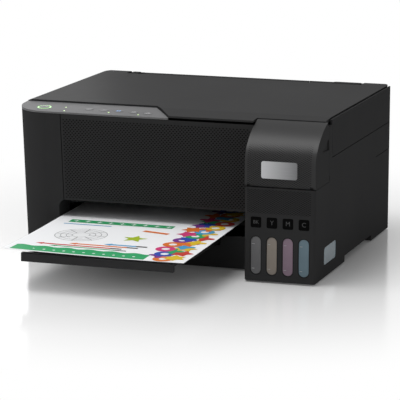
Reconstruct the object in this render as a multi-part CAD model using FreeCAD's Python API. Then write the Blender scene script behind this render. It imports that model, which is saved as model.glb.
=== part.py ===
"""Ink-tank printer with scanner and rear sheet feeder.

Model space: X to the right, the delivery side faces -Y, Z up, millimetres.
The printer is drawn about the middle of its closed footprint, and every shape is
moved by ROW_SHIFT_Y on export, so that the row origin is the middle of the whole
object's footprint with its tray and sheet out, on the surface it stands on.
"""
import FreeCAD, Part
import math
import os

V = FreeCAD.Vector

# ---------------------------------------------------------------- driving sizes
WIDTH = 375.0               # across the closed printer
DEPTH = 347.0               # front of the tank block to the back
HEIGHT = 179.0              # desk to the top of the document cover
WALL = 2.5                  # moulded casing wall
GAP = 0.3                   # running gap between parts that pass each other
SEAM = 0.8                  # visible shadow gap between casings
FOOT_H = 2.0                # how far the rubber feet lift the casing
REAR_R = 17.0               # rear vertical corners
CORNER_R = 40.0             # front left vertical corner
LEAN = 0.10                 # front face comes forward this much per unit of height
FACE_Y0 = -122.7            # front face at desk level

SEAM_Z = 134.0              # top of the lower casing
FRONT_TOP = 171.8           # top of the front panel and the corner column
SCAN_TOP = 172.2            # top of the scanner bezel
SCAN_FRONT = -104.0         # front wall of the scanner at the seam
SCAN_TILT = 0.11            # that wall leans forward, so it clears as it swings up
SCAN_BACK = 138.0           # back wall of the scanner, in front of the feeder
RIM_TOP = 177.6             # side walls of the scanner stand up round the cover
RIM_T = 2.2

TANK_PITCH = 18.5
TANK_GAP = 0.6              # between neighbouring tanks
TANK_MARGIN = (4.25, 3.55)  # first and last tank to the block's two sides
TANK_BACK = -60.0
COVER_SEAM = 108.0          # lower edge of the tank cover
COVER_BACK = -117.0         # back edge of the tank cover's sides
TANK_Y = (-168.0, -100.0)
TANK_Z = (6.0, 98.0)
TANK_T = 1.5
INK_TOP = 50.0
WINDOW_W = 12.0
WINDOW_Z = (9.5, 52.5)
SIDE_WINDOW = (-135.0, -84.0, 15.5, 36.0)
FILL_Y = -150.0
CAP_PIVOT = (-130.0, 104.0)
CAP_W = 14.0

HINGE_Y = 168.0             # common axis of scanner and document cover
HINGE_Z = 173.5
HINGE_R = 5.5
PIN_R = 1.8
PIN_CLEAR = 0.05
HOUSE_X = 151.5             # half width of the feeder housing between the hinges
COVER_CUT_X = 152.3
COVER_CUT_Y = 150.0
EAR_X = (153.0, 163.0)
KNUCKLE_X = (163.4, 174.0)
STUB_X = 175.5              # outer end of the pins that the document cover turns on

PAPER_X = -27.0             # middle of the paper path
PAPER_W = 210.0
PAPER_L = 297.0
PAPER_T = 0.25
PAPER_FRONT = -302.0
PAPER_FRONT_Z = 45.0
PAPER_SLOPE = math.tan(math.radians(1.5))

OPEN_X0 = -133.5            # delivery opening
OPEN_Z = (40.0, 70.0)
PANEL_X0 = -127.5           # seam between corner column and front panel
TRAY_X = (-117.0, 60.0)
TRAY_Y = (-215.0, -70.0)
TRAY_Z = 31.0
EXT_FRONT = -285.0
EXT_BACK = -140.0
LIP_Z = (30.0, 40.0)

FEED_LEAN = 30.0            # the sheet stands this far off vertical in the feeder
SUPPORT_TOP = 176.0
SUPPORT_L = 105.0
SUPPORT_LINE = (170.0, 178.0)   # a point of the support's front face

FEED_ROLLER_Y = -12.0
FEED_ROLLER_R = 8.0
EJECT_ROLLER_Y = -78.0
EJECT_ROLLER_R = 5.0
SHAFT_R = 3.0
FRAME_X = (-170.0, 140.0)   # inner faces of the frame's two end plates
FRAME_T = 2.0
BEAM_Y = 8.0
BEAM_Z = (62.0, 122.0)
BELT_Y = (1.5, 6.5)
BELT_Z = 90.0
PULLEY_R = 5.4
PULLEY_X = (-154.0, 122.0)
CARRIAGE_W = 60.0
CARRIAGE_X = -27.0

PANEL_BACK = -89.0          # control panel: rear edge and heights of its face
PANEL_Z = (177.0, 174.3)
PANEL_FRONT = -139.0
BUTTONS = {
    "power_button": (-155.0, -118.0, 6.5),
    "network_button": (-100.0, -117.5, 4.6),
    "info_button": (-81.0, -119.0, 4.6),
    "copy_mono_button": (-63.0, -119.5, 4.6),
    "copy_colour_button": (-44.0, -121.5, 4.6),
    "stop_button": (-26.0, -123.5, 4.6),
}
LIGHTS = ((-130.0, -113.5), (-125.0, -132.0), (-72.0, -128.0), (-35.0, -131.5))
RING_W = 1.3

HALF_W = WIDTH / 2
TANK_X = HALF_W - 4 * TANK_PITCH - sum(TANK_MARGIN)     # left side of the ink-tank block
TANK_X0 = TANK_X + TANK_MARGIN[0] + TANK_PITCH / 2      # middle of the first tank
TANK_W = TANK_PITCH - TANK_GAP
FRONT_Y = -DEPTH / 2
BACK_Y = DEPTH / 2
ROW_SHIFT_Y = -(PAPER_FRONT + BACK_Y) / 2
SIN_F = math.sin(math.radians(FEED_LEAN))
COS_F = math.cos(math.radians(FEED_LEAN))


# ---------------------------------------------------------------- shape helpers
def box(x0, x1, y0, y1, z0, z1):
    return Part.makeBox(x1 - x0, y1 - y0, z1 - z0, V(x0, y0, z0))


def rod(radius, start, end):
    a = V(*start)
    b = V(*end)
    return Part.makeCylinder(radius, (b - a).Length, a, b - a)


def prism_x(points, x0, x1):
    """Outline of (y, z) points, run along X."""
    wire = Part.makePolygon([V(x0, y, z) for y, z in points + points[:1]])
    return Part.Face(wire).extrude(V(x1 - x0, 0, 0))


def prism_z(points, z0, z1):
    """Outline of (x, y) points, run up Z."""
    wire = Part.makePolygon([V(x, y, z0) for x, y in points + points[:1]])
    return Part.Face(wire).extrude(V(0, 0, z1 - z0))


def rounded(x0, x1, y0, y1, z0, z1, radius):
    """Block with rounded vertical edges."""
    block = box(x0, x1, y0, y1, z0, z1)
    edges = [e for e in block.Edges if abs(e.BoundBox.ZLength - (z1 - z0)) < 1e-6]
    return block.makeFillet(radius, edges)


def stadium_y(x, z0, z1, width, y0, y1):
    """Upright slot shape run along Y, width across and from z0 to z1."""
    r = width / 2
    low = rod(r, (x, y0, z0 + r), (x, y1, z0 + r))
    high = rod(r, (x, y0, z1 - r), (x, y1, z1 - r))
    return low.fuse([high, box(x - r, x + r, y0, y1, z0 + r, z1 - r)]).removeSplitter()


def body_block(inset, z0, z1):
    """The casing's outer form, drawn in by inset: leaning front, upright back."""
    x0 = -HALF_W + inset
    x1 = HALF_W - inset
    front = FACE_Y0 + inset - LEAN * z0
    r = CORNER_R - inset
    arc = Part.Arc(V(x0, front + r, z0),
                   V(x0 + r * (1 - math.sqrt(0.5)), front + r * (1 - math.sqrt(0.5)), z0),
                   V(x0 + r, front, z0)).toShape()
    corners = [V(x0 + r, front, z0), V(x1, front, z0), V(x1, DEPTH, z0), V(x0, DEPTH, z0),
               V(x0, front + r, z0)]
    sides = [Part.makeLine(a, b) for a, b in zip(corners, corners[1:])]
    plan = Part.Face(Part.Wire([arc] + sides))
    leaning = plan.extrude(V(0, -LEAN * (z1 - z0), z1 - z0))
    back = BACK_Y - inset
    upright = box(x0, x1, -DEPTH, back, z0, z1)
    edges = [e for e in upright.Edges
             if e.BoundBox.ZLength > z1 - z0 - 1 and e.BoundBox.YMin > back - 1]
    return leaning.common(upright.makeFillet(REAR_R - inset, edges))


def scanner_zone(clear):
    """Everything behind the scanner's leaning front wall and above the seam."""
    y = SCAN_FRONT - clear
    top = 60.0
    return prism_x([(y, SEAM_Z), (2 * DEPTH, SEAM_Z), (2 * DEPTH, SEAM_Z + top),
                    (y - SCAN_TILT * top, SEAM_Z + top)], -WIDTH, WIDTH)


def panel_z(y):
    """Height of the control panel's face."""
    part = (PANEL_BACK - y) / (PANEL_BACK - PANEL_FRONT)
    return PANEL_Z[0] + (PANEL_Z[1] - PANEL_Z[0]) * part


def sheet_z(y):
    """Underside of the sheet on its way out."""
    return PAPER_FRONT_Z + (y - PAPER_FRONT) * PAPER_SLOPE


def feed_point(along, depth):
    """Point of the feeder: along up the slope, depth behind the support's face."""
    y, z = SUPPORT_LINE
    return (y + along * SIN_F + depth * COS_F, z + along * COS_F - depth * SIN_F)


def feed_slab(x0, x1, a0, a1, d0, d1):
    """Slab lying along the feeder's slope."""
    corners = [feed_point(a0, d0), feed_point(a1, d0), feed_point(a1, d1), feed_point(a0, d1)]
    return prism_x(corners, x0, x1)


def tank_x(index):
    return TANK_X0 + TANK_PITCH * index


parts = {}

# ---------------------------------------------------------------- lower casing
lower = body_block(0, FOOT_H, FRONT_TOP).cut(body_block(WALL, FOOT_H + WALL, HEIGHT + 20))
column_cap = body_block(WALL, FRONT_TOP - WALL, FRONT_TOP).cut(
    box(PANEL_X0, WIDTH, -DEPTH, DEPTH, 0, WIDTH))
lower = lower.fuse(column_cap)
lower = lower.fuse(box(PANEL_X0 - WALL, PANEL_X0, -135, SCAN_FRONT - 5, OPEN_Z[1], FRONT_TOP)
                   .common(body_block(WALL, FOOT_H, FRONT_TOP)))
lower = lower.fuse(box(OPEN_X0 - WALL, OPEN_X0, -135, -95, FOOT_H, OPEN_Z[1] + WALL)
                   .common(body_block(WALL, FOOT_H, FRONT_TOP)))
lower = lower.cut(scanner_zone(0.6))
lower = lower.cut(box(PANEL_X0, WIDTH, -DEPTH, SCAN_FRONT - 2, OPEN_Z[0], HEIGHT))
opening = box(OPEN_X0, TANK_X, -DEPTH, -118, OPEN_Z[0], OPEN_Z[1])
opening = opening.makeFillet(9, [e for e in opening.Edges if e.BoundBox.YLength > 100
                                 and e.BoundBox.XMin < OPEN_X0 + 1
                                 and e.BoundBox.ZMin > OPEN_Z[1] - 1])
lower = lower.cut(opening)
# slot for the tray, then a bar behind the front panel that carries it
lower = lower.cut(box(TRAY_X[0] - 2, TRAY_X[1] + 2, -DEPTH, -110, LIP_Z[0] - 1.5, OPEN_Z[0]))
bar = body_block(WALL, 150, 160).cut(body_block(2 * WALL, 150, 160))
lower = lower.fuse(bar.common(box(PANEL_X0 - WALL, TANK_X, -DEPTH, SCAN_FRONT - 8, 0, HEIGHT)))
# the tank block takes the right front corner, the rear housing the top of the back
lower = lower.cut(box(TANK_X, WIDTH, -DEPTH, TANK_BACK, 0, HEIGHT))
REAR_SEAM_Z = 101.4
REAR_SEAM_Y = 93.0
lower = lower.cut(box(-WIDTH, WIDTH, REAR_SEAM_Y, DEPTH, REAR_SEAM_Z - SEAM / 2, HEIGHT))
# runners under the tray
for x in (-100.0, 38.0):
    lower = lower.fuse(box(x, x + 5, -118, 8, FOOT_H + WALL, TRAY_Z - GAP))
# hand hold under the right edge
HOLD = (178.0, -46.0, 76.0, 9.0)
lower = lower.fuse(box(HOLD[0] - WALL, HALF_W - WALL, HOLD[1] - WALL, HOLD[2] + WALL,
                       FOOT_H, HOLD[3] + WALL))
lower = lower.cut(box(HOLD[0], WIDTH, HOLD[1], HOLD[2], 0, HOLD[3]))

# ---------------------------------------------------------------- electronics bay
BOARD = (98.0, 172.0, 62.0, 165.0)
BOARD_Z = 12.0
BOARD_T = 1.6
SUPPLY = (-172.0, -104.0, 62.0, 165.0)
SUPPLY_Z = (FOOT_H + WALL, 44.0)
SCREW_R = 1.5
board_holes = [(x, y) for x in (BOARD[0] + 5, BOARD[1] - 5) for y in (BOARD[2] + 5, BOARD[3] - 5)]
for x, y in board_holes:
    post = rod(3.5, (x, y, FOOT_H + WALL), (x, y, BOARD_Z))
    lower = lower.fuse(post.cut(rod(SCREW_R, (x, y, FOOT_H + WALL), (x, y, BOARD_Z))))
USB = (112.0, 125.0, 18.0, 30.0)
INLET = (-150.0, -124.0, 14.0, 34.0)
for x0, x1, z0, z1 in (USB, INLET):
    lower = lower.cut(box(x0 - GAP, x1 + GAP, BACK_Y - 2 * WALL, DEPTH, z0 - GAP, z1 + GAP))
# grooves in the back wall, closed inside
GROOVE_D = 1.2
for index in range(8):
    x = -90 + 12 * index
    lower = lower.cut(box(x, x + 6, BACK_Y - GROOVE_D, DEPTH, 30, 60))
parts["lower_case"] = lower.removeSplitter()

board = box(BOARD[0], BOARD[1], BOARD[2], BOARD[3], BOARD_Z, BOARD_Z + BOARD_T)
top = BOARD_Z + BOARD_T
board = board.fuse([box(120, 145, 90, 115, top, top + 3), box(152, 166, 80, 110, top, top + 5),
                    rod(6, (110, 130, top), (110, 130, top + 18)),
                    rod(6, (155, 135, top), (155, 135, top + 18))])
screws = []
for x, y in board_holes:
    board = board.cut(rod(SCREW_R + 0.2, (x, y, 0), (x, y, HEIGHT)))
    screw = rod(SCREW_R, (x, y, FOOT_H + WALL), (x, y, top))
    screws.append(screw.fuse(rod(3, (x, y, top), (x, y, top + 2))).removeSplitter())
port = box(USB[0], USB[1], 160, BACK_Y - 1, USB[2], USB[3])
port = port.cut(box(USB[0] + 2, USB[1] - 2, 164, DEPTH, USB[2] + 2, USB[3] - 2))
port = port.fuse(box(USB[0] + 2, USB[1] - 2, 160, 163, top, USB[2]))
parts["mainboard"] = board.fuse(port).removeSplitter()
parts["board_screws"] = Part.makeCompound(screws)
supply = rounded(SUPPLY[0], SUPPLY[1], SUPPLY[2], SUPPLY[3], SUPPLY_Z[0], SUPPLY_Z[1], 4)
inlet = rounded(INLET[0], INLET[1], SUPPLY[3] - 1, BACK_Y - 1, INLET[2], INLET[3], 2)
inlet = inlet.cut(box(INLET[0] + 3, INLET[1] - 3, SUPPLY[3] + 2, DEPTH, INLET[2] + 4, INLET[3] - 4))
for x in (-141.0, -133.0):
    inlet = inlet.fuse(rod(1.1, (x, SUPPLY[3] + 1, 24), (x, BACK_Y - 3, 24)))
parts["power_supply"] = supply.fuse(inlet).removeSplitter()
parts["waste_ink_pad"] = rounded(90, 138, -54, 50, FOOT_H + WALL, FOOT_H + WALL + 11, 5)

# ---------------------------------------------------------------- front panel
panel = body_block(0, OPEN_Z[1], FRONT_TOP).cut(body_block(WALL, OPEN_Z[1], FRONT_TOP))
panel = panel.common(box(PANEL_X0 + SEAM, TANK_X - GAP, -DEPTH, -100, 0, HEIGHT))
shelf = box(PANEL_X0 + SEAM, TANK_X - GAP, -134, -108, OPEN_Z[1], OPEN_Z[1] + WALL)
panel = panel.fuse(shelf.common(body_block(0.5, OPEN_Z[1], FRONT_TOP)))
parts["front_panel"] = panel.removeSplitter()

# ---------------------------------------------------------------- ink-tank block
housing = box(TANK_X, HALF_W, FRONT_Y, TANK_BACK, FOOT_H, COVER_SEAM)
front_edges = [e for e in housing.Edges if e.BoundBox.ZLength > 90 and e.BoundBox.YMax < FRONT_Y + 1]
housing = housing.makeFillet(3, front_edges)
rear_wall = box(TANK_X, HALF_W, COVER_BACK + GAP, TANK_BACK, COVER_SEAM, FRONT_TOP)
housing = housing.fuse(rear_wall)
housing = housing.cut(box(TANK_X + WALL, HALF_W - WALL, FRONT_Y + WALL, COVER_BACK + GAP,
                          FOOT_H + WALL, HEIGHT))
housing = housing.cut(box(TANK_X + WALL, HALF_W - WALL, COVER_BACK, COVER_BACK + 10,
                          FOOT_H + WALL, COVER_SEAM - 6))
housing = housing.cut(box(TANK_X + WALL, HALF_W - WALL, COVER_BACK + GAP + WALL, 0,
                          FOOT_H + WALL, FRONT_TOP - WALL))
housing = housing.cut(box(TANK_X - 1, HALF_W - WALL, -92, 0, FOOT_H + WALL, HEIGHT))
housing = housing.cut(scanner_zone(0.6))
housing = housing.cut(box(HALF_W - 1.5, HALF_W + 1, COVER_BACK + 0.2, COVER_BACK + 1.6,
                          COVER_SEAM + 1.5, COVER_SEAM + 7.5))
for index in range(4):
    housing = housing.cut(stadium_y(tank_x(index), WINDOW_Z[0], WINDOW_Z[1], WINDOW_W,
                                    FRONT_Y - 1, FRONT_Y + WALL + 1))
wy0, wy1, wz0, wz1 = SIDE_WINDOW
side_hole = box(HALF_W - WALL - 1, HALF_W + 1, wy0, wy1, wz0, wz1)
side_hole = side_hole.makeFillet(5, [e for e in side_hole.Edges if e.BoundBox.XLength > 3])
housing = housing.cut(side_hole)
# ears that carry the tank cover's pins
COVER_AXIS = (FRONT_Y + 2.9, COVER_SEAM + SEAM / 2 + 2.8)
COVER_EAR_R = 1.8
COVER_PIN_R = 0.9
ears = [(TANK_X + WALL + 0.6, TANK_X + WALL + 3.6), (HALF_W - WALL - 3.6, HALF_W - WALL - 0.6)]
cy, cz = COVER_AXIS
for x0, x1 in ears:
    ear = rod(COVER_EAR_R, (x0, cy, cz), (x1, cy, cz))
    ear = ear.fuse(box(x0, x1, cy, cy + COVER_EAR_R, COVER_SEAM - 4, cz))
    ear = ear.fuse(box(x0, x1, FRONT_Y + WALL - 0.5, cy + COVER_EAR_R, COVER_SEAM - 6, COVER_SEAM - 1))
    ear = ear.cut(rod(COVER_PIN_R + PIN_CLEAR, (x0 - 1, cy, cz), (x1 + 1, cy, cz)))
    housing = housing.fuse(ear)
parts["tank_housing"] = housing.removeSplitter()


def cover_profile(inset, x):
    """Side outline of the tank cover as a closed wire in the plane at x."""
    y0 = FRONT_Y + inset
    poles = [V(x, -126 + inset, 176.6 - inset), V(x, -145 + inset, 171.2 - inset),
             V(x, y0, 156 - inset / 2), V(x, y0, 136)]
    curve = Part.BezierCurve()
    curve.setPoles(poles)
    bottom = COVER_SEAM + SEAM / 2 - (inset > 0) * 20
    corners = [poles[3], V(x, y0, bottom), V(x, COVER_BACK + inset, bottom),
               V(x, COVER_BACK + inset, FRONT_TOP - 1 - inset), V(x, -125.2 + inset, 173.8 - inset),
               V(x, -125.2 + inset, 176.7 - inset), poles[0]]
    lines = [Part.makeLine(a, b) for a, b in zip(corners, corners[1:])]
    return Part.Face(Part.Wire([curve.toShape()] + lines))


cover = cover_profile(0, TANK_X).extrude(V(HALF_W - TANK_X, 0, 0))
hollow = cover_profile(2.2, TANK_X + WALL).extrude(V(HALF_W - TANK_X - 2 * WALL, 0, 0))
cover = cover.cut(hollow)
cover = cover.cut(box(TANK_X + WALL, HALF_W - WALL, COVER_BACK - 1, COVER_BACK + 9, 0, FRONT_TOP - 6))
# the lower front edge is round about the hinge axis
corner = box(TANK_X - 1, HALF_W + 1, FRONT_Y - 1, cy, COVER_SEAM, cz)
cover = cover.cut(corner.cut(rod(2.9, (TANK_X - 2, cy, cz), (HALF_W + 2, cy, cz))))
for x0, x1 in ears:
    room = rod(COVER_EAR_R + GAP, (x0 - GAP, cy, cz), (x1 + GAP, cy, cz))
    room = room.fuse(box(x0 - GAP, x1 + GAP, FRONT_Y - 1, cy + 3, COVER_SEAM, cz + 0.5))
    cover = cover.cut(room)
for outer, end in ((TANK_X, ears[0][1]), (HALF_W, ears[1][0])):
    reach = WALL * (1 if end > outer else -1)
    cover = cover.fuse(rod(COVER_PIN_R, (outer + reach / 2, cy, cz), (end, cy, cz)))
scoop = Part.Face(Part.makePolygon([V(HALF_W, -121, 158), V(HALF_W, -145, 146.4),
                                    V(HALF_W, -120, 145), V(HALF_W, -121, 158)]))
cover = cover.cut(scoop.extrude(V(-1.4, 0, 0)))
BADGE = (TANK_X + 19.3, TANK_X + 60.8, 118.7, 138.0)
parts["tank_cover"] = cover.removeSplitter()
badge = box(BADGE[0], BADGE[1], FRONT_Y - 0.6, FRONT_Y, BADGE[2], BADGE[3])
badge = badge.makeFillet(2.5, [e for e in badge.Edges if e.BoundBox.YLength > 0.5])
parts["tank_badge"] = badge

for index, name in enumerate(("black", "yellow", "magenta", "cyan")):
    x = tank_x(index)
    half = TANK_W / 2
    tank = rounded(x - half, x + half, TANK_Y[0], TANK_Y[1], TANK_Z[0], TANK_Z[1], 3)
    inside = rounded(x - half + TANK_T, x + half - TANK_T, TANK_Y[0] + TANK_T, TANK_Y[1] - TANK_T,
                     TANK_Z[0] + TANK_T, TANK_Z[1] - TANK_T, 1.5)
    tank = tank.cut(inside)
    tank = tank.fuse(stadium_y(x, WINDOW_Z[0] + 0.2, WINDOW_Z[1] - 0.2, WINDOW_W - 0.4,
                               FRONT_Y + 0.5, TANK_Y[0] + 0.5))
    if name == "cyan":
        lens = box(x + half - 0.5, HALF_W - 0.4, wy0 + 0.2, wy1 - 0.2, wz0 + 0.2, wz1 - 0.2)
        lens = lens.makeFillet(4.8, [e for e in lens.Edges if e.BoundBox.XLength > 3])
        tank = tank.fuse(lens.common(box(0, WIDTH, wy0, TANK_Y[1] - 4, 0, HEIGHT)))
        tank = tank.fuse(lens.common(box(x + half + 0.5, WIDTH, wy0, wy1, 0, HEIGHT)))
    neck_z = CAP_PIVOT[1] + 2
    tank = tank.fuse(rod(5, (x, FILL_Y, TANK_Z[1] - 0.5), (x, FILL_Y, neck_z)))
    tank = tank.cut(rod(3, (x, FILL_Y, TANK_Z[1] - 5), (x, FILL_Y, neck_z)))
    py, pz = CAP_PIVOT
    for side in (-1, 1):
        near = x + side * 3.5
        far = x + side * 5.0
        lo, hi = min(near, far), max(near, far)
        tank = tank.fuse([box(lo, hi, py - 1.9, py + 1.9, TANK_Z[1] - 0.5, pz),
                          rod(1.9, (lo, py, pz), (hi, py, pz))])
    tank = tank.fuse(rod(1.2, (x - 4, py, pz), (x + 4, py, pz)))
    parts["ink_tank_" + name] = tank.removeSplitter()
    ink = inside.common(box(0, WIDTH, -DEPTH, 0, 0, INK_TOP))
    parts["ink_" + name] = ink
    deck = neck_z + 0.4
    cap = rounded(x - CAP_W / 2, x + CAP_W / 2, FILL_Y - 10, py + 2.6, deck, deck + 3, 2)
    cap = cap.fuse(box(x - 3.2, x + 3.2, py - 2.6, py + 2.6, pz, deck + 0.5))
    cap = cap.fuse(rod(2.6, (x - 3.2, py, pz), (x + 3.2, py, pz)))
    cap = cap.cut(rod(1.2 + PIN_CLEAR, (x - 4, py, pz), (x + 4, py, pz)))
    cap = cap.fuse([rod(2.6, (x, FILL_Y, neck_z - 1.5), (x, FILL_Y, deck + 0.5)),
                    rod(5.5, (x, FILL_Y, deck + 2.5), (x, FILL_Y, deck + 5))])
    parts["tank_cap_" + name] = cap.removeSplitter()

# ---------------------------------------------------------------- scanner unit
ax_y, ax_z = HINGE_Y, HINGE_Z


def scanner_block(inset, z0, z1):
    """The scanner's outer form between two heights, feeder bay left out."""
    block = body_block(inset, z0, z1).common(scanner_zone(-inset))
    bay = box(-COVER_CUT_X - inset, COVER_CUT_X + inset, SCAN_BACK - inset, DEPTH, 0, 2 * HEIGHT)
    return block.cut(bay)


scan_low = SEAM_Z + SEAM
scanner = scanner_block(0, scan_low, RIM_TOP).cut(scanner_block(WALL, scan_low + WALL, HEIGHT + 9))
# walls stop under the bezel except where they stand up as a rim round the cover
inner_rim = body_block(RIM_T, SCAN_TOP - 6, RIM_TOP + 1)
scanner = scanner.cut(inner_rim.common(box(-WIDTH, WIDTH, -DEPTH, DEPTH, SCAN_TOP - 2.2, HEIGHT)))
scanner = scanner.cut(box(-WIDTH, 0, -DEPTH, PANEL_BACK + SEAM, SCAN_TOP - 2.2, HEIGHT))
scanner = scanner.cut(box(-HALF_W + RIM_T, HALF_W - RIM_T, -DEPTH, SCAN_FRONT + 12, SCAN_TOP - 2.2, HEIGHT))
# rear corners: room for the cover's round back edge, then the ears that turn on the
# housing's pins and carry the cover on stubs of their own
clear_r = HINGE_R + 0.5
room = rod(clear_r, (-WIDTH, ax_y, ax_z), (WIDTH, ax_y, ax_z))
room = room.fuse(box(-WIDTH, WIDTH, ax_y - clear_r, DEPTH, ax_z, HEIGHT + 9))
room = room.fuse(box(-WIDTH, WIDTH, ax_y, DEPTH, ax_z - clear_r, HEIGHT + 9))
scanner = scanner.cut(room)
for side in (-1, 1):
    x0, x1 = sorted((side * EAR_X[0], side * EAR_X[1]))
    ear = rod(HINGE_R - 1.3, (x0, ax_y, ax_z), (x1, ax_y, ax_z))
    web = box(x0, x1, ax_y - 4, ax_y, scan_low + 1, ax_z)
    bore_end = side * (EAR_X[1] - 1.5)
    ear = ear.fuse(web).cut(rod(PIN_R + PIN_CLEAR, (side * EAR_X[0], ax_y, ax_z), (bore_end, ax_y, ax_z)))
    stub = rod(PIN_R, (bore_end + side, ax_y, ax_z), (side * STUB_X, ax_y, ax_z))
    scanner = scanner.fuse([ear, stub])

GLASS = (-165.0, 145.0, -88.0, 128.0)
GLASS_T = 3.0
SCAN_ROD = (15.0, 146.0)
ledge = box(GLASS[0] - 6, GLASS[1] + 6, SCAN_ROD[0] - 6, SCAN_ROD[0] + 6, scan_low + 1,
            SCAN_ROD[1] + 6)
ledge = ledge.cut(box(GLASS[0] - 3, GLASS[1] + 3, -DEPTH, DEPTH, scan_low + WALL, HEIGHT))
ledge = ledge.cut(rod(SHAFT_R, (-HALF_W, *SCAN_ROD), (HALF_W, *SCAN_ROD)))
scanner = scanner.fuse(ledge)
parts["scanner_base"] = scanner.removeSplitter()

bezel = scanner_block(WALL + 0.2, SCAN_TOP - 8, SCAN_TOP)
bezel = bezel.cut(scanner_block(WALL + 2.4, SCAN_TOP - 9, SCAN_TOP - 2.2))
plate = scanner_block(RIM_T + GAP, SCAN_TOP - 2.2, SCAN_TOP)
bezel = bezel.common(box(-WIDTH, WIDTH, SCAN_FRONT, DEPTH, 0, HEIGHT)).fuse(plate)
bezel = bezel.cut(box(GLASS[0] + 4, GLASS[1] - 4, GLASS[2] + 4, GLASS[3] - 4, 0, HEIGHT))
bezel = bezel.cut(box(-WIDTH, WIDTH, SCAN_BACK - WALL - 4, DEPTH, 0, HEIGHT))
parts["scanner_bezel"] = bezel.removeSplitter()
glass_top = SCAN_TOP - 2.2
parts["scanner_glass"] = rounded(GLASS[0], GLASS[1], GLASS[2], GLASS[3], glass_top - GLASS_T,
                                 glass_top, 2)
parts["scan_rod"] = rod(SHAFT_R, (GLASS[0] - 6, *SCAN_ROD), (GLASS[1] + 6, *SCAN_ROD))
bar_x = GLASS[0] + 8
scan_bar = box(bar_x, bar_x + 20, GLASS[2] + 3, GLASS[3] - 3, SCAN_ROD[1] + 6, glass_top - GLASS_T - GAP)
scan_bar = scan_bar.fuse(box(bar_x, bar_x + 20, SCAN_ROD[0] - 8, SCAN_ROD[0] + 8, SCAN_ROD[1] - 6,
                             SCAN_ROD[1] + 7))
scan_bar = scan_bar.cut(rod(SHAFT_R + PIN_CLEAR, (-HALF_W, *SCAN_ROD), (HALF_W, *SCAN_ROD)))
parts["scan_bar"] = scan_bar.removeSplitter()

# ---------------------------------------------------------------- control panel
TIP_X = 4.0
left_outline = [(-HALF_W - 1, PANEL_BACK), (-27.5, PANEL_BACK), (-19.5, -101.0), (TIP_X, -138.5),
                (TIP_X - 2, PANEL_FRONT - 3), (-HALF_W - 1, PANEL_FRONT - 3)]
control = prism_z(left_outline, SCAN_TOP, HEIGHT).common(body_block(0, SCAN_TOP, HEIGHT))
slope = prism_x([(PANEL_BACK + 1, panel_z(PANEL_BACK + 1)), (PANEL_BACK + 1, HEIGHT + 9),
                 (-DEPTH, HEIGHT + 9), (-DEPTH, panel_z(-DEPTH))], -WIDTH, WIDTH)
control = control.cut(slope)
lights = []
LIGHT_PROUD = 0.1
KEY_PROUD = 0.35
light_top = slope.translated(V(0, 0, LIGHT_PROUD))
key_top = slope.translated(V(0, 0, KEY_PROUD))
for x, y in LIGHTS:
    light = rod(1.0, (x, y, panel_z(y) - 1.5), (x, y, HEIGHT)).cut(light_top)
    control = control.cut(light)
    lights.append(light)
for name, (x, y, r) in BUTTONS.items():
    top = panel_z(y)
    hole_r = r + 0.3
    if name == "power_button":
        ring = rod(r + 0.3 + RING_W, (x, y, top - 2), (x, y, HEIGHT)).cut(light_top)
        control = control.cut(ring)
        lights.append(ring.cut(rod(r + 0.3, (x, y, 0), (x, y, HEIGHT))))
    control = control.cut(rod(hole_r, (x, y, SCAN_TOP), (x, y, HEIGHT)))
    key = rod(r, (x, y, top - 1.9), (x, y, HEIGHT)).cut(key_top)
    rims = [e for e in key.Edges if e.BoundBox.ZMin > top - 1]
    parts[name] = key.makeFillet(0.3, rims)
parts["control_panel"] = control.removeSplitter()
parts["status_lights"] = Part.makeCompound(lights)

# ---------------------------------------------------------------- document cover
side_x = HALF_W - RIM_T - 1.2
LID_LOW = SCAN_TOP + 0.7
LIP_Y = -140.0
TANK_EDGE_Y = -124.4
CREASE_Y = -100.0
FRONT_DROP = 0.055
edge = SEAM
outline = [(-side_x, PANEL_BACK + edge), (-27.0, PANEL_BACK + edge), (-18.4, -100.4),
           (TIP_X + 1.0, LIP_Y), (TANK_X - edge, LIP_Y), (TANK_X - edge, TANK_EDGE_Y),
           (side_x, TANK_EDGE_Y), (side_x, BACK_Y), (-side_x, BACK_Y)]
lid = prism_z(outline, LID_LOW, HEIGHT)
back_edges = [e for e in lid.Edges if e.BoundBox.ZLength > 5 and e.BoundBox.YMin > BACK_Y - 1]
lid = lid.makeFillet(REAR_R, back_edges)
lid = lid.cut(prism_x([(CREASE_Y, HEIGHT), (CREASE_Y, HEIGHT + 9), (-DEPTH, HEIGHT + 9),
                       (-DEPTH, HEIGHT - FRONT_DROP * (CREASE_Y + DEPTH))], -WIDTH, WIDTH))
lid = lid.cut(box(-WIDTH, WIDTH, -DEPTH, SCAN_FRONT + 10, 0, LID_LOW + 1.7))
lid = lid.cut(box(-COVER_CUT_X, COVER_CUT_X, COVER_CUT_Y, DEPTH, 0, HEIGHT + 1))
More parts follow.
